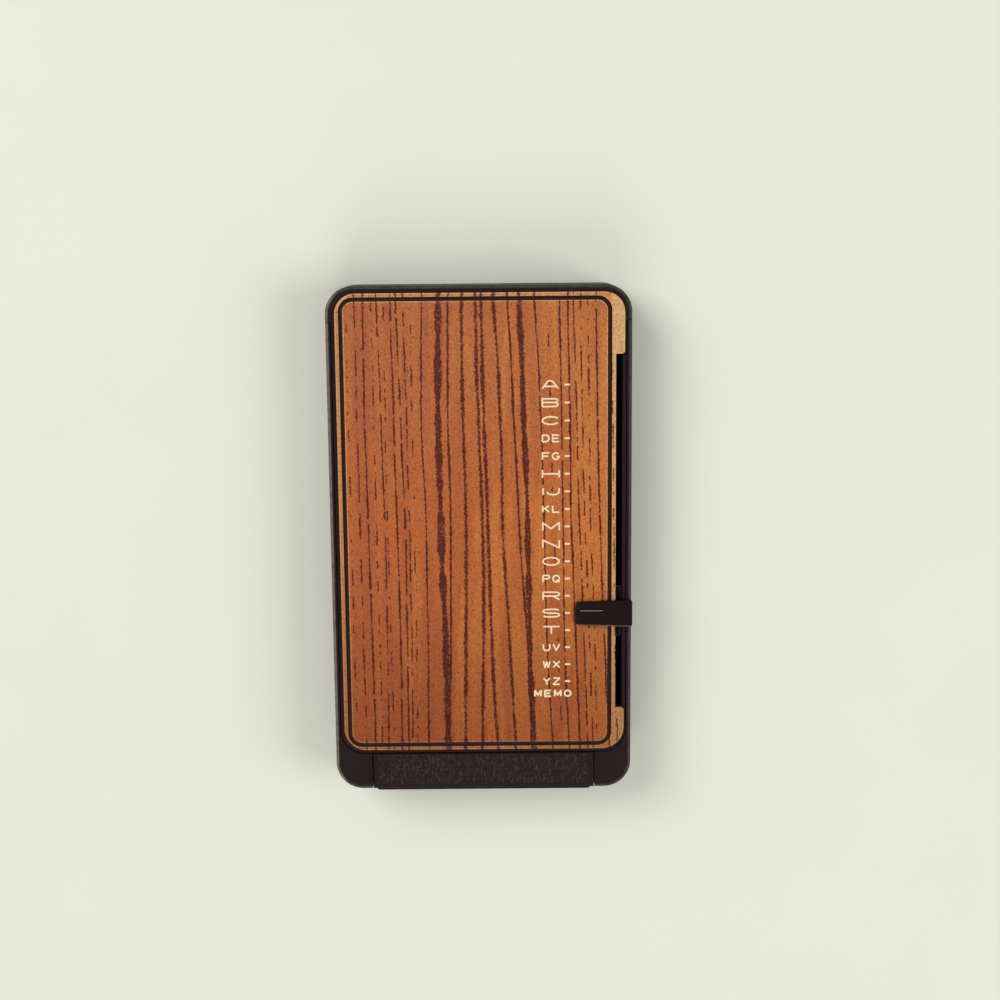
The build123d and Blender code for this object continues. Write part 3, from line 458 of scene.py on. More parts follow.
def choose(piece, kind, test):
    """Selects in edit mode the verts, edges or faces that pass the test."""
    bpy.ops.mesh.select_mode(type=kind[:-1].upper())
    bpy.ops.mesh.select_all(action="DESELECT")
    shape = bmesh.from_edit_mesh(piece.data)
    for item in getattr(shape, kind):
        if test(item):
            item.select_set(True)
    shape.select_flush_mode()
    bmesh.update_edit_mesh(piece.data)


def settle(piece):
    """Puts a piece's place, turn and scale into its mesh."""
    only(piece)
    bpy.ops.object.transform_apply(location=True, rotation=True, scale=True)
    return piece


def modified(piece, kind, **settings):
    """Adds a modifier and applies it."""
    only(piece)
    modifier = piece.modifiers.new(kind.title(), kind)
    for name, value in settings.items():
        setattr(modifier, name, value)
    bpy.ops.object.modifier_apply(modifier=modifier.name)
    return piece


def outward(piece):
    """Merges doubles and turns all faces outwards."""
    with editing(piece):
        bpy.ops.mesh.remove_doubles(threshold=1e-6)
        bpy.ops.mesh.normals_make_consistent(inside=False)
    return piece


def smooth(piece, angle=35):
    """Smooth shading, with sharp edges kept."""
    only(piece)
    bpy.ops.object.shade_smooth_by_angle(angle=radians(angle))
    return piece


def joined(name, pieces):
    """Several pieces made one."""
    only(pieces[0])
    for piece in pieces[1:]:
        piece.select_set(True)
    bpy.ops.object.join()
    pieces[0].name = name
    return pieces[0]


def finished(piece, material, body, replaces=()):
    """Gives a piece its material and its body."""
    settle(piece)
    piece.data.materials.clear()
    piece.data.materials.append(material)
    if body:
        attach(piece, body)
    if replaces:
        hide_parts(*replaces)
    return piece


def rounded_plate(name, lo, hi, z, thickness, radii, segments):
    """A flat plate from corner lo to hi: radii for front left, front right, rear right, rear left."""
    (x0, y0), (x1, y1) = lo, hi
    piece = fresh(bpy.ops.mesh.primitive_plane_add, name, size=1)
    piece.scale = ((x1 - x0) * MM, (y1 - y0) * MM, 1)
    piece.location = ((x0 + x1) / 2 * MM, (y0 + y1) / 2 * MM, z * MM)
    settle(piece)
    corners = ((x0, y0), (x1, y0), (x1, y1), (x0, y1))
    with editing(piece):
        for (x, y), radius in zip(corners, radii):
            if radius:
                spot = Vector((x, y, z)) * MM
                choose(piece, "verts", lambda v: (v.co - spot).length < 1e-6)
                bpy.ops.mesh.bevel(offset=radius * MM, segments=segments, affect="VERTICES")
    if thickness:
        modified(piece, "SOLIDIFY", thickness=thickness * MM, offset=1)
    return piece


# ---- letters
def arc(x, y, across, up, start, end):
    """Points on an arc in a letter's unit square, from start to end degrees."""
    steps = max(2, round(abs(end - start) / 24))
    angles = [radians(start + (end - start) * step / steps) for step in range(steps + 1)]
    return [(x + across * cos(angle), y + up * sin(angle)) for angle in angles]


RING = arc(0.5, 0.5, 0.5, 0.5, 90, 450)
BOWL = [(0, 0.48)] + arc(0.74, 0.74, 0.26, 0.26, -90, 90) + [(0, 1)]
# each capital as strokes in a unit square, drawn for this scale
GLYPHS = {
    "A": [
        [(0, 0)] + arc(0.48, 0.74, 0.2, 0.26, 150, 30) + [(0.96, 0)],
        [(0.16, 0.28), (0.8, 0.28)],
    ],
    "B": [
        [(0, 0), (0, 1)] + arc(0.72, 0.76, 0.2, 0.24, 90, -90) + [(0, 0.52)],
        [(0.7, 0.52)] + arc(0.74, 0.26, 0.2, 0.26, 90, -90) + [(0, 0)],
    ],
    "C": [arc(0.52, 0.5, 0.52, 0.5, 38, 322)],
    "D": [[(0, 0), (0, 1)] + arc(0.5, 0.5, 0.5, 0.5, 90, -90) + [(0, 0)]],
    "E": [[(1, 1), (0, 1), (0, 0), (1, 0)], [(0, 0.5), (0.88, 0.5)]],
    "F": [[(1, 1), (0, 1), (0, 0)], [(0, 0.5), (0.86, 0.5)]],
    "G": [arc(0.52, 0.5, 0.52, 0.5, 40, 330) + [(1, 0.44), (0.58, 0.44)]],
    "H": [[(0, 0), (0, 1)], [(1, 0), (1, 1)], [(0, 0.5), (1, 0.5)]],
    "I": [[(0.5, 0), (0.5, 1)]],
    "J": [[(1, 1)] + arc(0.5, 0.42, 0.5, 0.42, 0, -180)],
    "K": [[(0, 0), (0, 1)], [(0.94, 1), (0, 0.38)], [(0.32, 0.6), (1, 0)]],
    "L": [[(0, 1), (0, 0), (1, 0)]],
    "M": [[(0, 0), (0, 1), (0.5, 0.22), (1, 1), (1, 0)]],
    "N": [[(0, 0), (0, 1), (1, 0), (1, 1)]],
    "O": [RING],
    "P": [[(0, 0), (0, 1)], BOWL],
    "Q": [RING, [(0.6, 0.3), (1.0, -0.06)]],
    "R": [[(0, 0), (0, 1)], BOWL, [(0.6, 0.48), (1, 0)]],
    "S": [
        arc(0.34, 0.75, 0.34, 0.25, 90, 270)
        + arc(0.66, 0.25, 0.34, 0.25, 90, -90)
        + [(0.2, 0), (0.02, 0.1)],
        [(0.34, 1), (0.78, 1), (0.96, 0.9)],
    ],
    "T": [[(0, 1), (1, 1)], [(0.5, 1), (0.5, 0)]],
    "U": [[(0, 1)] + arc(0.5, 0.42, 0.5, 0.42, 180, 360) + [(1, 1)]],
    "V": [[(0, 1), (0.5, 0), (1, 1)]],
    "W": [[(0, 1), (0.26, 0), (0.5, 0.9), (0.74, 0), (1, 1)]],
    "X": [[(0, 0), (1, 1)], [(0, 1), (1, 0)]],
    "Y": [[(0, 1), (0.5, 0.48), (1, 1)], [(0.5, 0.48), (0.5, 0)]],
    "Z": [[(0, 1), (1, 1), (0, 0), (1, 0)]],
}
NARROW = {"I": 0.08}
SHARP_TURN = radians(40)


def word_strokes(word, x, y, width, height, gap):
    """A word's strokes in mm, its left edge at x and its middle height at y."""
    parts = [NARROW.get(letter, 1.0) for letter in word]
    unit = (width - gap * (len(word) - 1)) / sum(parts)
    strokes = []
    for letter, part in zip(word, parts):
        for stroke in GLYPHS[letter]:
            strokes.append([(x + u * unit * part, y + (v - 0.5) * height) for u, v in stroke])
        x += unit * part + gap
    return strokes


def cut_at_corners(strokes, reach):
    """Strokes cut at their sharp corners, and drawn on past them so that the corners fill."""
    parts = []
    for stroke in strokes:
        part = [stroke[0]]
        for before, here, after in zip(stroke, stroke[1:], stroke[2:]):
            coming = (Vector(here) - Vector(before)).normalized()
            going = (Vector(after) - Vector(here)).normalized()
            if coming.angle(going) < SHARP_TURN:
                part.append(here)
            else:
                parts.append([*part, tuple(Vector(here) + coming * reach)])
                part = [tuple(Vector(here) - going * reach)]
        parts.append([*part, stroke[-1]])
    return parts


def ink_strokes(name, strokes, pen, z, relief=0.12):
    """Strokes drawn point by point, given a round pen and pressed nearly flat."""
    piece = fresh(bpy.ops.mesh.primitive_plane_add, name, size=pen * MM)
    with editing(piece):
        bpy.ops.mesh.merge(type="CENTER")
        here = (0.0, 0.0)
        for stroke in cut_at_corners(strokes, pen * 0.3):
            for index, point in enumerate(stroke):
                way = ((point[0] - here[0]) * MM, (point[1] - here[1]) * MM, 0)
                if index:
                    bpy.ops.mesh.extrude_vertices_move(TRANSFORM_OT_translate={"value": way})
                else:
                    bpy.ops.mesh.duplicate_move(TRANSFORM_OT_translate={"value": way})
                here = point
        choose(piece, "verts", lambda v: not v.link_edges)
        bpy.ops.mesh.delete(type="VERT")
    only(piece)
    bpy.ops.object.convert(target="CURVE")
    piece = bpy.context.object
    piece.data.bevel_depth = pen / 2 * MM
    piece.data.bevel_resolution = 2
    piece.data.use_fill_caps = True
    bpy.ops.object.convert(target="MESH")
    piece = bpy.context.object
    piece.location.z = z * MM
    piece.scale.z = relief
    settle(piece)
    return smooth(outward(piece), 60)


# ---- stage
# each lamp's place in metres, its width in metres and its share of the power
LAMPS = [
    ("lamp_left", (-1.05, 0.85, 1.25), 1.1, 1.6),
    ("lamp_right", (1.3, -0.15, 1.1), 1.0, 1.0),
    ("lamp_front", (-0.2, -1.4, 0.95), 1.1, 0.7),
]
CAMERA_PLACE = (7.2, 111.6, 596.3)  # in mm
CAMERA_TURN = (-9.46, -0.07, -0.50)  # in degrees


class INDEX_OT_stage(bpy.types.Operator):
    """Make the table, the lights and the camera"""

    bl_idname = "telephone_index.stage"
    bl_label = "Stage"

    def execute(self, context):
        """Makes the stage."""
        given = context.scene.index_stage
        floor = fresh(bpy.ops.mesh.primitive_circle_add, "table_top", radius=4.0, vertices=96)
        with editing(floor):
            bpy.ops.mesh.edge_face_add()
            bpy.ops.mesh.inset(thickness=3.2)
        shader = Shader("table_top")
        soft = shader.noise(60.0, 2.0)
        base = shader.mottled(given.floor_colour, soft, 0.2, 0.8, 0.985)
        floor.data.materials.append(shader.finish(base, 0.9, specular=0.1))
        world = bpy.data.worlds.new("studio")
        context.scene.world = world
        world.use_nodes = True
        tree = world.node_tree
        sky = tree.nodes["Background"]
        path = tree.nodes.new("ShaderNodeLightPath")
        seen = tree.nodes.new("ShaderNodeBackground")
        choice = tree.nodes.new("ShaderNodeMixShader")
        sky.inputs["Color"].default_value = (1.0, 0.985, 0.96, 1)
        sky.inputs["Strength"].default_value = given.sky_level
        seen.inputs["Color"].default_value = (*given.floor_colour, 1)
        tree.links.new(path.outputs["Is Camera Ray"], choice.inputs[0])
        tree.links.new(sky.outputs[0], choice.inputs[1])
        tree.links.new(seen.outputs[0], choice.inputs[2])
        tree.links.new(choice.outputs[0], tree.nodes["World Output"].inputs["Surface"])
        for name, place, size, part in LAMPS:
            self.lamp(name, Vector(place), size, given.lamp_power * part)
        bpy.ops.object.select_all(action="DESELECT")
        turn = tuple(radians(angle) for angle in CAMERA_TURN)
        bpy.ops.object.camera_add(location=Vector(CAMERA_PLACE) * MM, rotation=turn)
        camera = context.object
        camera.name = "camera"
        camera.data.lens = given.camera_lens
        camera.data.clip_start = 0.01
        context.scene.camera = camera
        context.scene.view_settings.view_transform = "Standard"
        return {"FINISHED"}

    def lamp(self, name, place, size, power):
        """A square soft lamp that faces the middle of the table."""
        turn = (-place).to_track_quat("-Z", "Y").to_euler()
        bpy.ops.object.select_all(action="DESELECT")
        bpy.ops.object.light_add(type="AREA", location=place, rotation=turn)
        lamp = bpy.context.object
        lamp.name = name
        lamp.data.size = size
        lamp.data.energy = power


# ---- plate
# Each streak's middle across the plate, its width, and how much of its length is inked. The middles
# were read from the photograph, to half a millimetre, at even steps from rear to front.
STREAKS = [
    ((-47.5, -47), 0.35, 0.35),
    ((-44.5, -43.5), 0.4, 0.6),
    ((-41.5, -41.5, -41, -40.5, -40), 0.55, 0.95),
    ((-38.5, -37.5), 0.35, 0.45),
    ((-36.5, -35, -35), 0.4, 0.7),
    ((-34, -34, -33), 0.35, 0.4),
    ((-31.5, -31, -30.5, -30, -30), 0.55, 0.95),
    ((-29.5, -28.5, -27.5, -27.5, -27.5), 0.5, 0.8),
    ((-27, -26, -26), 0.4, 0.65),
    ((-24.5, -24), 0.35, 0.4),
    ((-20.5, -21, -20, -20, -20), 0.5, 1),
    ((-14.5, -15, -14.5, -13.5, -13), 2.2, 1),
    ((-11, -11.5, -11, -11.5, -12.5), 0.7, 1),
    ((-6, -6, -5.5, -6, -6.5), 1.0, 1),
    ((-1, -0.5, 0.5, 0.5, 0), 1.0, 1),
    ((1, 1.5, 2.5, 3.5, 5.5), 1.1, 1),
    ((5.5, 7.5, 8, 10, 12), 0.9, 1),
    ((10.5, 12.5, 14, 16.5, 18), 0.7, 1),
    ((14.5, 16, 17, 17.5, 19), 1.8, 1),
    ((20, 22, 23, 24, 26), 0.5, 0.95),
    ((24.5, 25.5, 26.5, 28, 29.5), 0.35, 0.35),
    ((29, 29.5, 30, 30.5, 32), 0.5, 0.9),
    ((32, 32.5, 33, 34.5, 36), 0.6, 1),
    ((34, 35, 36, 37.5, 39), 0.4, 0.7),
    ((36.5, 37, 38, 39.5, 41), 0.4, 0.55),
    ((39, 39.5, 40, 41.5, 42.5), 0.4, 0.5),
    ((42, 42.5, 43.5, 45, 47), 0.55, 0.95),
    ((47, 48, 48.5, 49, 50), 0.35, 0.55),
]
STREAK_REAR_Y = 85.0
STREAK_FRONT_Y = -75.0
WIDE_STREAK = 0.8
DASH_LENGTH = 8.5
PLATE_SPAN = 2 * high("wood_plate").x
PLATE_CORNER_RADIUS = 8.0
# painted shade: multipliers that darken the wood toward the front, through the middle
FRONT_PAINTED_SHADE = (0.63, 0.49, 0.40)
MIDDLE_PAINTED_SHADE = (0.98, 0.88, 0.76)
LINE_SUNK = 0.01
LINE_THICKNESS = 0.04


class INDEX_OT_plate(bpy.types.Operator):
    """Finish the wood-grain plate and lay its frame line"""

    bl_idname = "telephone_index.plate"
    bl_label = "Wood-grain plate"

    def execute(self, context):
        """Finishes the plate."""
        given = context.scene.index_plate
        lo, hi = corners("wood_plate")
        self.line_lo = (lo.x + given.line_inset, lo.y + given.line_inset)
        self.line_hi = (hi.x - given.line_right_inset, hi.y - given.line_inset)
        dress(self.wood(given, lo, hi), "wood_plate")
        radii = [given.line_radius] * 4
        ring = rounded_plate("frame_line", self.line_lo, self.line_hi, hi.z - LINE_SUNK, 0, radii, 10)
        with editing(ring):
            bpy.ops.mesh.inset(thickness=given.line_width * MM)
            bpy.ops.mesh.delete(type="FACE")
        modified(ring, "SOLIDIFY", thickness=LINE_THICKNESS * MM, offset=1)
        finished(outward(ring), self.line_ink(given), "cover")
        return {"FINISHED"}

    def line_ink(self, given):
        """The frame line's ink: near black, a little lighter towards the inside."""
        shader = Shader("frame_line_ink")
        away = shader.rounded(self.line_lo, self.line_hi, given.line_radius)
        mottle = shader.noise(0.5, 3.0)
        inner = shader.step(away, -given.line_width * 0.35, -given.line_width * 0.65)
        inner = shader.times(inner, shader.step(mottle, 0.3, 0.65, 0.55, 1.0))
        base = shader.mix(inner, given.line, given.line_light)
        return shader.finish(base, 0.55, specular=0.14, normal=shader.bump(mottle, 0.006))

    def streak(self, shader, middles, width, inked, along, number):
        """How far inside one streak a point is, from 0 to 1."""
        half = PLATE_SPAN / 2
        curve = shader.add("ShaderNodeFloatCurve", Value=along)
        points = curve.mapping.curves[0].points
        spots = [(1 - i / (len(middles) - 1), (x + half) / PLATE_SPAN) for i, x in enumerate(middles)]
        for spot in spots[1:-1]:
            points.new(*spot)
        for point, spot in zip(sorted(points, key=lambda p: p.location[0]), sorted(spots)):
            point.location = spot
        curve.mapping.update()
        centre = shader.math("MULTIPLY_ADD", curve.outputs[0], PLATE_SPAN, -half)
        away = shader.math("ABSOLUTE", shader.less(self.wavy_x, centre))
        swell = shader.step(shader.wave(shader.y, 15.0, number * 7.3, 2.0), 0.3, 0.7, 0.65, 1.3)
        edge = shader.times(swell, width / 2)
        soft, full = (0.48, 0.86) if width > WIDE_STREAK else (0.3, 0.98)
        cover = shader.step(away, shader.math("ADD", edge, soft), shader.less(edge, soft), 0.0, full)
        run = shader.wave(shader.y, DASH_LENGTH, number * 3.7 + 40, 2.5)
        if inked < 1:
            gap = 0.5 + (0.5 - inked) * 0.36
            return shader.times(cover, shader.step(run, gap - 0.025, gap + 0.025))
        # an unbroken streak is only a little paler here and there
        return shader.times(cover, shader.step(run, 0.3, 0.6, 0.82, 1.0))

    def wood(self, given, lo, hi):
        """The wood: warm ground, dark streaks, and a paler margin outside the frame line."""
        shader = Shader("wood_print")
        bend = shader.noise(16.0, 2.0, (1.0, 2.4, 1))
        shake = shader.noise(1.4, 2.0, (1.0, 1.6, 1))
        bent_x = shader.math("MULTIPLY_ADD", shader.less(bend, 0.5), 1.0, shader.x)
        self.wavy_x = shader.math("MULTIPLY_ADD", shader.less(shake, 0.5), 0.55, bent_x)
        reach = STREAK_REAR_Y - STREAK_FRONT_Y
        along = shader.math("DIVIDE", shader.less(shader.y, STREAK_FRONT_Y), reach)
        covers = [self.streak(shader, *row, along, number) for number, row in enumerate(STREAKS)]
        cover = shader.most(*covers)
        # ground: long soft bands and a fine mottle, redder at the rear left, golden at the right
        bands = shader.noise(4.0, 3.0, (1, 14, 1))
        mottle = shader.noise(0.5, 3.0, (1, 1.4, 1))
        drift = shader.math("MULTIPLY_ADD", shader.x, 0.0085, shader.times(shader.y, -0.003))
        golden = shader.math("ADD", shader.math("ADD", drift, 0.05), shader.step(bands, 0.32, 0.7))
        ground = shader.mix(shader.step(golden, 0.35, 1.15), given.wood, given.gold)
        ground = shader.mix(shader.step(golden, 0.3, -0.45), ground, given.red)
        # the frame line's two sides
        away = shader.rounded(self.line_lo, self.line_hi, given.line_radius)
        width = given.line_width
        outside = shader.step(away, -width / 2, width / 2)
        right = shader.step(shader.x, self.line_hi[0] - 1, self.line_hi[0], 0.35, 0.95)
        ground = shader.mix(shader.times(outside, right), ground, given.margin)
        # the stain soaks in round a streak, and the dark of it lies in dots over the stain
        ground = shader.mix(shader.step(cover, 0.0, 0.7, 0.0, 0.8), ground, given.stain)
        dots = shader.step(shader.noise(0.55, 2.0, (1, 1.5, 1)), 0.3, 0.7)
        bare = shader.math("MULTIPLY_ADD", cover, -1.1, 1.0)
        gap, sure = shader.less(bare, 0.26), shader.math("ADD", bare, 0.26)
        dark = shader.step(dots, gap, sure)
        dark = shader.times(dark, shader.step(outside, 0.2, 0.8, 0.94, 0.88))
        base = shader.mix(dark, ground, given.streak)
        # fine golden lines: inside the frame line, outside it, and along the plate's cut edge a painted
        # highlight
        outline = shader.rounded(lo, hi, PLATE_CORNER_RADIUS)
        inner = shader.math("COMPARE", away, -width - 0.17, 0.17)
        outer = shader.math("COMPARE", away, 0.12, 0.12)
        # painted highlight along the plate's cut edge
        rim = shader.step(outline, -0.55, -0.3)
        fine = shader.most(inner, outer, rim)
        pale = tuple(min(1.0, channel * 1.1) for channel in given.margin)
        fine = shader.times(fine, shader.step(dark, 0.2, 0.6, 0.6, 0.1))
        base = shader.mix(fine, base, pale)
        fleck = shader.step(mottle, 0.3, 0.72, 0.82, 1.16)
        tint = shader.add("ShaderNodeCombineColor", Red=fleck, Green=fleck, Blue=fleck).outputs[0]
        base = shader.mix(1.0, base, tint, "MULTIPLY")
        # painted shade: the wood is darkened toward the front
        painted_shade = shader.mix(shader.step(shader.y, -85.0, 5.0), FRONT_PAINTED_SHADE, MIDDLE_PAINTED_SHADE)
        painted_shade = shader.mix(shader.step(shader.y, 5.0, 70.0), painted_shade, (1.0, 1.0, 1.0))
        base = shader.mix(1.0, base, painted_shade, "MULTIPLY")
        height = shader.math("MULTIPLY_ADD", dark, -1.0, shader.times(mottle, 0.35))
        return shader.finish(base, 0.46, specular=0.2, normal=shader.bump(height, 0.02))


# ---- scale
ROWS = "A B C DE FG H IJ KL M N O PQ R S T UV WX YZ".split()
RACK_END = 4.0


def row_places(memo_step):
    """Each row's y and the memo's, in mm, from the rack's ends."""
    rear, front = high("selector_rack").y - RACK_END, low("selector_rack").y + RACK_END
    pitch = (rear - front - memo_step) / (len(ROWS) - 1)
    return [rear - pitch * row for row in range(len(ROWS))], front


class INDEX_OT_scale(bpy.types.Operator):
    """Print the alphabet scale on the plate"""

    bl_idname = "telephone_index.scale"
    bl_label = "Alphabet scale"

    def execute(self, context):
        """Prints the scale."""
        given = context.scene.index_scale
        top = high("wood_plate").z
        rows, memo = row_places(given.memo_step)
        ink = printed("cream_ink", given.ink)
        letters, ticks = [], []
        for word, y in zip(ROWS, rows):
            tall = given.letter_height if len(word) == 1 else given.pair_height
            wide, gap = given.letter_width, given.letter_gap
            letters += word_strokes(word, given.letter_x, y, wide, tall, gap)
            ticks.append([(given.tick_x, y), (given.tick_x + given.tick_length, y)])
        word = word_strokes(
            "MEMO", given.memo_x, memo, given.memo_width, given.memo_height, given.memo_gap
        )
        for name, strokes, pen in (
            ("scale_letters", letters, given.pen),
            ("scale_ticks", ticks, given.pen * 1.15),
            ("scale_memo", word, given.pen * 1.12),
        ):
            finished(ink_strokes(name, strokes, pen, top), ink, "cover")
        return {"FINISHED"}


# ---- case, frame, selector
# a foot's sole, in mm: its outer edge, the pressed ring inside that, and the rim's rounding
SOLE_EDGE = 1.1
SOLE_RING = 1.2
SOLE_SLOPE = 0.25
SOLE_PRESS = 0.3
SOLE_ROUND = 0.4


class INDEX_OT_case(bpy.types.Operator):
    """Finish the case, the lid's frame and the feet"""

    bl_idname = "telephone_index.case"
    bl_label = "Case and feet"

    def execute(self, context):
        """Finishes the case."""
        given = context.scene.index_case
        dress(moulded("case_plastic", given.plastic, given.edge), "base_tray", "cover_frame")
        dress(moulded("white_plastic", given.white, sheen=0.4), "selector_rack", "ring_hubs")
        rubber = moulded("foot_rubber", given.rubber, sheen=0.3, rough=0.75, grain=0.03)
        for corner in ("front_left", "front_right", "rear_left", "rear_right"):
            node = f"foot_{corner}"
            finished(self.foot(node), rubber, "base", [node])
        return {"FINISHED"}

    def foot(self, node):
        """A rubber foot with a rounded rim and a shallow ring pressed in its sole."""
        lo, hi = corners(node)
        radius, middle = (hi.x - lo.x) / 2 * MM, (lo + hi) / 2 * MM
        piece = fresh(
            bpy.ops.mesh.primitive_cylinder_add,
            f"rubber_{node}",
            vertices=48,
            radius=radius,
            depth=(hi.z - lo.z) * MM,
            location=middle,
        )
        settle(piece)

        def on_rim(vertex):
            """Whether a vertex lies on the sole's outer edge."""
            away = (vertex.co.xy - middle.xy).length
            return abs(vertex.co.z - lo.z * MM) < 1e-6 and away > radius * 0.98

        with editing(piece):
            choose(piece, "faces", lambda f: f.normal.z < -0.9)
            for inset, press in ((SOLE_EDGE, SOLE_PRESS), (SOLE_RING, -SOLE_PRESS)):
                bpy.ops.mesh.inset(thickness=inset * MM)
                bpy.ops.mesh.inset(thickness=SOLE_SLOPE * MM)
                bpy.ops.transform.translate(value=(0, 0, press * MM))
            choose(piece, "edges", lambda e: all(map(on_rim, e.verts)))
            bpy.ops.mesh.bevel(offset=SOLE_ROUND * MM, segments=4)
        return smooth(piece, 40)


INDEX_LINE = (36.2, 44.4)  # from x to x, in mm
INDEX_LINE_Y = 1.2  # behind the pointer's middle
POINTER_TAPER = 0.034  # how far its front edge runs to the rear for each mm to the left
POINTER_DOT_X = 35.3
CARRIAGE_LINE_INSET = 0.15
CARRIAGE_THICKNESS = 1.2
NOTCH_DEPTH = 3.2


class INDEX_OT_selector(bpy.types.Operator):
    """Finish the selector, with its index line"""

    bl_idname = "telephone_index.selector"
    bl_label = "Selector"

    def execute(self, context):
        """Finishes the selector."""
        given = context.scene.index_case
        lo, hi = corners("selector_pointer")
        dress(self.pointer(given, lo, hi), "selector_pointer")
        black = moulded("carriage_plastic", given.pointer, rough=0.36, grain=0.004)
        dress(black, "selector_carriage")
        middle = (lo.y + hi.y) / 2
        paint = printed("index_line_paint", tone(168, 156, 150))
        line_y = middle + INDEX_LINE_Y
        line = [[(INDEX_LINE[0], line_y), (INDEX_LINE[1], line_y)]]
        finished(ink_strokes("pointer_line", line, 0.15, hi.z), paint, "selector")
        dots = [[(POINTER_DOT_X, middle + y), (POINTER_DOT_X + 0.06, middle + y)] for y in (-1.5, 2.2)]
        finished(ink_strokes("pointer_dots", dots, 0.22, hi.z), paint, "selector")
        # painted highlights: light lines along the carriage's edges where it shows in the plate's notch
        edge = printed("carriage_edge_line", tone(124, 110, 104))
        under, over = corners("selector_carriage")
        web = over.x - CARRIAGE_LINE_INSET
        half = (over.y - under.y) / 2 - CARRIAGE_LINE_INSET
        for name, way in (("carriage_edge_front", -1), ("carriage_edge_rear", 1)):
            far, near = middle + way * half, middle + way * (hi.y - lo.y) / 2
            strokes = [[(low_notch_x(), far), (web, far), (web, near)]]
            line = ink_strokes(name, strokes, 0.17, under.z + CARRIAGE_THICKNESS)
            finished(line, edge, "selector")
        return {"FINISHED"}

    def pointer(self, given, lo, hi):
        """Satin black plastic, with a painted highlight along the pointer's front edge."""
        shader = Shader("pointer_plastic")
        cloud = shader.noise(9.0, 3.0)
        sand = shader.noise(0.28, 2.0)
        base = shader.mottled(given.pointer, cloud, 0.3, 0.7, 0.75)
        # painted highlight: a lighter band along the top of the pointer's front edge
        taper = shader.math("MULTIPLY_ADD", shader.x, -POINTER_TAPER, lo.y + hi.x * POINTER_TAPER)
        front = shader.step(shader.less(shader.y, taper), 0.5, 0.3)
        upper = shader.step(shader.z, hi.z - 0.9, hi.z - 0.5)
        rubbed = shader.times(front, upper, shader.step(cloud, 0.3, 0.6, 0.5, 1.0))
        base = shader.mix(rubbed, base, tone(104, 90, 86))
        return shader.finish(base, 0.36, specular=0.17, normal=shader.bump(sand, 0.004))


def low_notch_x():
    """Where the plate's notch starts, in mm."""
    return high("wood_plate").x - NOTCH_DEPTH


# ---- push bar
LEATHER_STEP = 0.18  # the leather's grid, in mm
LEATHER_RISE = 0.1  # how far its highest ridge stands over the bar
LEATHER_SKIRT = 0.35


class INDEX_OT_push_bar(bpy.types.Operator):
    """Finish the push bar and its leather-grained field"""

    bl_idname = "telephone_index.push_bar"
    bl_label = "Push bar"

    def execute(self, context):
        """Finishes the push bar."""
        given = context.scene.index_bar
        case = context.scene.index_case
        dress(moulded("bar_plastic", case.plastic), "push_bar")
        lo, hi = corners("push_bar")
        x1 = hi.x - given.leather_end
        y0, y1 = lo.y + given.leather_front, low("cover_frame").y - given.leather_rear
        field = fresh(
            bpy.ops.mesh.primitive_grid_add,
            "bar_leather",
            x_subdivisions=round(2 * x1 / LEATHER_STEP),
            y_subdivisions=round((y1 - y0) / LEATHER_STEP),
            size=2,
        )
        # the grain is drawn on a stretched grid, so that its wrinkles run to the rear
        size, run = given.grain_size, given.grain_run
        field.scale = (x1 / size, (y1 - y0) / 2 / size / run, 1)
        settle(field)
        wrinkles = bpy.data.textures.new("wrinkles", "MUSGRAVE")
        wrinkles.musgrave_type = "RIDGED_MULTIFRACTAL"
        wrinkles.noise_scale = 1.0
        wrinkles.octaves = 2.0
        swirls = bpy.data.textures.new("swirls", "CLOUDS")
        swirls.noise_scale = 1.3
        swirls.noise_depth = 2
        modified(field, "DISPLACE", texture=wrinkles, strength=0.7)
        modified(field, "DISPLACE", texture=swirls, strength=0.5)
        heights = [vertex.co.z for vertex in field.data.vertices]
        relief = given.grain_depth / (max(heights) - min(heights))
        field.scale = (size * MM, size * run * MM, relief * MM)
        field.location = (0, (y0 + y1) / 2 * MM, (hi.z + LEATHER_RISE - max(heights) * relief) * MM)
        settle(field)
        with editing(field):
            choose(field, "edges", lambda e: len(e.link_faces) == 1)
            skirt = (0, 0, -LEATHER_SKIRT * MM)
            bpy.ops.mesh.extrude_region_move(TRANSFORM_OT_translate={"value": skirt})
        smooth(field, 60)
        finished(field, self.leather(given), "push_bar")
        return {"FINISHED"}

    def leather(self, given):
        """Leather-grained plastic, with painted shade in its wrinkles and a painted highlight on its
        ridges.
        """
        shader = Shader("bar_leather")
        top = high("push_bar").z
        # painted highlight on the grain's high ridges and painted shade in its low wrinkles
        height = shader.step(shader.z, top - 0.08, top + 0.04)
        streaks = shader.noise(0.46, 2.0, (1, 4.2, 1))
        ridge_highlight = shader.times(height, shader.step(streaks, 0.44, 0.58, 0.15, 1.0))
        base = shader.mix(ridge_highlight, given.valley, given.ridge)
        gloss = shader.step(streaks, 0.3, 0.7, 0.5, 0.34)
        fine = shader.noise(0.16, 2.0, (1, 2, 1))
        return shader.finish(base, gloss, specular=0.17, normal=shader.bump(fine, 0.012))


# ---- cards and memo pad
CARD_MARK_PLACE = (32.0, -65.0)
CARD_MARK_WIDTHS = (5.0, 8.0)  # of one letter and of two
CARD_MARK_HEIGHT = 5.0
CARD_MARK_GAP = 1.4
CARD_MARK_PEN = 0.7
RULED_X = (-38.0, 41.6)  # where the writing lines start and end
RULED_Y = (-71.0, 60.0)
RULE_SHIFT = 0.4
DIVIDER_X = 10.0
DIVIDER_HALF = 0.13


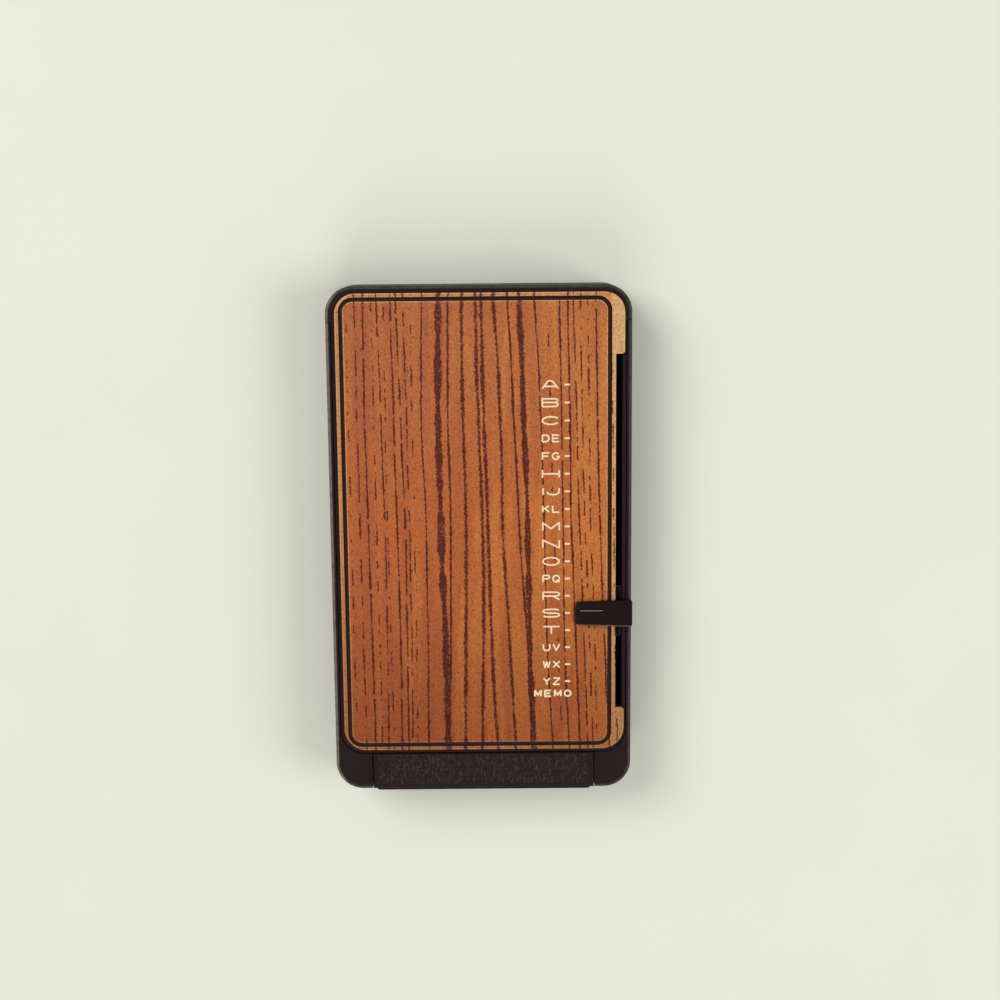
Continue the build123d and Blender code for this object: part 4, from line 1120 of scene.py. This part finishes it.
class INDEX_OT_cards(bpy.types.Operator):
    """Rule and letter the index cards"""

    bl_idname = "telephone_index.cards"
    bl_label = "Index cards"

    def execute(self, context):
        """Finishes the cards."""
        given = context.scene.index_cards
        dress(self.ruled_card(given), *CARDS)
        ink = printed("card_ink", given.print_ink)
        for node in CARDS:
            word = node[5:].upper()
            lo, hi = corners(node)
            for side, z in (("upper", hi.z), ("under", lo.z)):
                way = 1 if side == "upper" else -1
                x, y = CARD_MARK_PLACE
                width = CARD_MARK_WIDTHS[len(word) - 1]
                strokes = word_strokes(word, 0, 0, width, CARD_MARK_HEIGHT, CARD_MARK_GAP)
                strokes = [[(x + u, y + way * v) for u, v in stroke] for stroke in strokes]
                mark = ink_strokes(f"{node}_letter_{side}", strokes, CARD_MARK_PEN, z, 0.05)
                finished(mark, ink, node)
        return {"FINISHED"}

    def ruled_card(self, given):
        """Cream card with writing lines and a divider, on both faces."""
        shader = Shader("ruled_card")
        fibres = shader.noise(1.2, 4.0, (1, 3, 1))
        base = shader.mottled(given.stock, fibres, 0.25, 0.75, 0.94)
        turn = shader.math("PINGPONG", shader.math("ADD", shader.y, RULE_SHIFT), given.rule_step / 2)
        inside, reach = [
            shader.times(shader.step(value, first, first + 0.2), shader.step(value, last, last - 0.2))
            for value, (first, last) in ((shader.x, RULED_X), (shader.y, RULED_Y))
        ]
        ruled = shader.times(shader.step(turn, 0.16, 0.06), inside, reach)
        base = shader.mix(ruled, base, given.rule)
        split = shader.times(shader.math("COMPARE", shader.x, DIVIDER_X, DIVIDER_HALF), reach)
        base = shader.mix(split, base, given.divider)
        return shader.finish(base, 0.7, specular=0.3, normal=shader.bump(fibres, 0.01))


SHEET_COUNT = 20
SHEET_SLIP = 0.22  # how far a sheet lies out of line, in mm
SHEET_SHARE = 0.93  # the paper's share of a sheet's room
SHEET_RADII = (1.5, 1.5, 0, 0)


class INDEX_OT_memo_pad(bpy.types.Operator):
    """Stack the memo pad's sheets on its board"""

    bl_idname = "telephone_index.memo_pad"
    bl_label = "Memo pad"

    def execute(self, context):
        """Makes the memo pad."""
        given = context.scene.index_cards
        lo, hi = corners("memo_pad")
        thick = (hi.z - lo.z) / SHEET_COUNT
        chance = random.Random(5)
        sheets = []
        for number in range(SHEET_COUNT):
            slide, skew = chance.uniform(0, SHEET_SLIP), chance.uniform(0, SHEET_SLIP)
            first, last = (lo.x + skew, lo.y + slide), (hi.x - SHEET_SLIP + skew, hi.y)
            z = lo.z + thick * number
            sheet = rounded_plate(f"sheet_{number}", first, last, z, thick * SHEET_SHARE, SHEET_RADII, 5)
            sheets.append(sheet)
        pad = outward(joined("memo_sheets", sheets))
        finished(pad, self.paper(given, hi), "base", ["memo_pad"])
        shader = Shader("grey_board")
        flecks = shader.noise(0.6, 4.0)
        base = shader.mottled(given.board, flecks, 0.3, 0.7, 0.7)
        dress(shader.finish(base, 0.85, normal=shader.bump(flecks, 0.02)), "memo_board")
        return {"FINISHED"}

    def paper(self, given, hi):
        """White paper, with a strip of red gum along its bound rear edge."""
        shader = Shader("memo_paper")
        fibres = shader.noise(0.9, 4.0)
        base = shader.mottled(given.paper, fibres, 0.25, 0.75, 0.95)
        gum = shader.step(shader.y, hi.y - 0.25, hi.y - 0.1)
        base = shader.mix(gum, base, tone(150, 52, 44))
        return shader.finish(base, 0.75, specular=0.25, normal=shader.bump(fibres, 0.008))


# ---- steel
LIFT_WIRE = 0.8
LIFT_COIL_RADIUS = 2.4
LIFT_FULL_TURNS = 5
LIFT_UPPER_LEG = 14.0
LIFT_LOWER_LEG = 10.7
BAR_SPRING_WIRE = 0.5
BAR_SPRING_RADIUS = 2.0
BAR_SPRING_TURNS = 4


class INDEX_OT_hinge(bpy.types.Operator):
    """Wind the lift springs and finish the hinge, the latch and the lifter"""

    bl_idname = "telephone_index.hinge"
    bl_label = "Hinge, latch and springs"

    def execute(self, context):
        """Finishes the steel parts."""
        given = context.scene.index_metal
        zinc = brushed("zinc_plate", given.zinc, 0.4)
        bright = brushed("bright_steel", given.bright, 0.26)
        wire = brushed("spring_wire", given.spring, 0.32, (1, 1, 1))
        dress(zinc, "hinge_bracket", "bracket_rivets", "catch_rivets", "hook_rivets")
        dress(zinc, "cover_catch", "latch_hook")
        dress(bright, "hinge_rod", "rod_clips", "card_ring_left", "card_ring_right")
        dress(bright, "card_lifter", "bar_pivot_pin")
        dress(wire, "detent_spring")
        for side, name in ((-1, "left"), (1, "right")):
            self.lift_spring(side, name, wire)
            self.bar_spring(side, name, wire)
        return {"FINISHED"}

    def lift_spring(self, side, name, wire):
        """A torsion spring round the rod: one leg on the case's post, one under the lid."""
        node = f"lift_spring_{name}"
        lo, hi = corners(node)
        thick, radius = LIFT_WIRE, LIFT_COIL_RADIUS
        rise = hi.z - HINGE.z - thick / 2
        far = hypot(LIFT_UPPER_LEG, rise)
        slope = atan2(rise, LIFT_UPPER_LEG) - asin(radius / far)
        sweep = pi - slope + 2 * pi * LIFT_FULL_TURNS
        outer = max(abs(lo.x), abs(hi.x)) - thick / 2
        inner = min(abs(lo.x), abs(hi.x)) + thick / 2
        steps = 24 * LIFT_FULL_TURNS + 12
        leg = sqrt(far**2 - radius**2)
        path = [((outer, -LIFT_LOWER_LEG, -radius), (0, 1, 0))]
        for step in range(steps + 1):
            angle = -pi / 2 + sweep * step / steps
            x = outer + (inner - outer) * step / steps
            path.append(((x, radius * cos(angle), radius * sin(angle)), (0, -sin(angle), cos(angle))))
        last, way = path[-1]
        path.append((tuple(p + w * leg for p, w in zip(last, way)), way))
        piece = wound(f"lift_coil_{name}", path, thick, HINGE, wire, node, side)
        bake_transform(piece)

    def bar_spring(self, side, name, wire):
        """A compression spring under the push bar."""
        node = f"bar_spring_{name}"
        lo, hi = corners(node)
        thick, radius = BAR_SPRING_WIRE, BAR_SPRING_RADIUS
        steps = 24 * BAR_SPRING_TURNS
        path = []
        for step in range(steps + 1):
            angle = 2 * pi * BAR_SPRING_TURNS * step / steps
            z = lo.z + thick / 2 + (hi.z - lo.z - thick) * step / steps
            path.append(((radius * cos(angle), radius * sin(angle), z), (-sin(angle), cos(angle), 0)))
        middle = (lo + hi) / 2
        piece = wound(f"bar_coil_{name}", path, thick, Vector((middle.x, middle.y, 0)), wire, node)
        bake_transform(piece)


def wire_along(name, path, thick):
    """A wire whose end circle is carried along a path of places and directions, in mm."""
    first, way = path[0]
    turn = Vector(way).to_track_quat("Z", "Y").to_euler()
    piece = fresh(
        bpy.ops.mesh.primitive_circle_add,
        name,
        radius=thick / 2 * MM,
        vertices=12,
        fill_type="NGON",
        location=Vector(first) * MM,
        rotation=turn,
    )
    settle(piece)
    with editing(piece):
        for (here, way), (there, ahead) in zip(path, path[1:]):
            bpy.ops.mesh.extrude_region_move(
                TRANSFORM_OT_translate={"value": (Vector(there) - Vector(here)) * MM}
            )
            twist = Vector(way).rotation_difference(Vector(ahead))
            axis, angle = twist.to_axis_angle()
            if angle > 1e-5:
                bpy.ops.transform.rotate(
                    value=-angle,
                    orient_axis="Z",
                    orient_type="GLOBAL",
                    orient_matrix=axis_frame(axis),
                    orient_matrix_type="GLOBAL",
                    center_override=Vector(there) * MM,
                )
    return piece


def axis_frame(axis):
    """A frame whose Z is the given axis."""
    return axis.to_track_quat("Z", "Y").to_matrix().transposed()


def wound(name, path, thick, place, wire, node, side=1):
    """A spring along a path, set in its place and finished. Side -1 mirrors it."""
    piece = wire_along(name, path, thick)
    piece.scale.x = side
    piece.location = place * MM
    settle(piece)
    smooth(outward(piece), 60)
    return finished(piece, wire, None, [node])


class INDEX_PT_pieces(bpy.types.Panel):
    """Lists the pieces in the sidebar"""

    bl_label = "Telephone index"
    bl_idname = "INDEX_PT_pieces"
    bl_space_type = "VIEW_3D"
    bl_region_type = "UI"
    bl_category = "Telephone index"

    def draw(self, context):
        """Draws a button for each piece, and its settings."""
        for operator in OPERATORS:
            self.layout.operator(operator.bl_idname)
        for name in SETTINGS:
            box = self.layout.box()
            group = getattr(context.scene, name)
            box.label(text=name.replace("_", " ").capitalize())
            for setting in group.__annotations__:
                box.prop(group, setting)


OPERATORS = [
    INDEX_OT_stage,
    INDEX_OT_case,
    INDEX_OT_plate,
    INDEX_OT_scale,
    INDEX_OT_selector,
    INDEX_OT_push_bar,
    INDEX_OT_cards,
    INDEX_OT_memo_pad,
    INDEX_OT_hinge,
]


def register():
    """Registers the settings, the operators and the panel."""
    for name, group in SETTINGS.items():
        bpy.utils.register_class(group)
        setattr(bpy.types.Scene, name, bpy.props.PointerProperty(type=group))
    for made in (*OPERATORS, INDEX_PT_pieces):
        bpy.utils.register_class(made)


def unregister():
    """Takes them away again."""
    for made in (INDEX_PT_pieces, *reversed(OPERATORS)):
        bpy.utils.unregister_class(made)
    for name, group in SETTINGS.items():
        delattr(bpy.types.Scene, name)
        bpy.utils.unregister_class(group)


def main():
    """Makes every piece in order."""
    register()
    ops = bpy.ops.telephone_index
    ops.stage()
    ops.case()
    ops.plate()
    ops.scale()
    ops.selector()
    ops.push_bar()
    ops.cards()
    ops.memo_pad()
    ops.hinge()


if __name__ == "__main__":
    main()
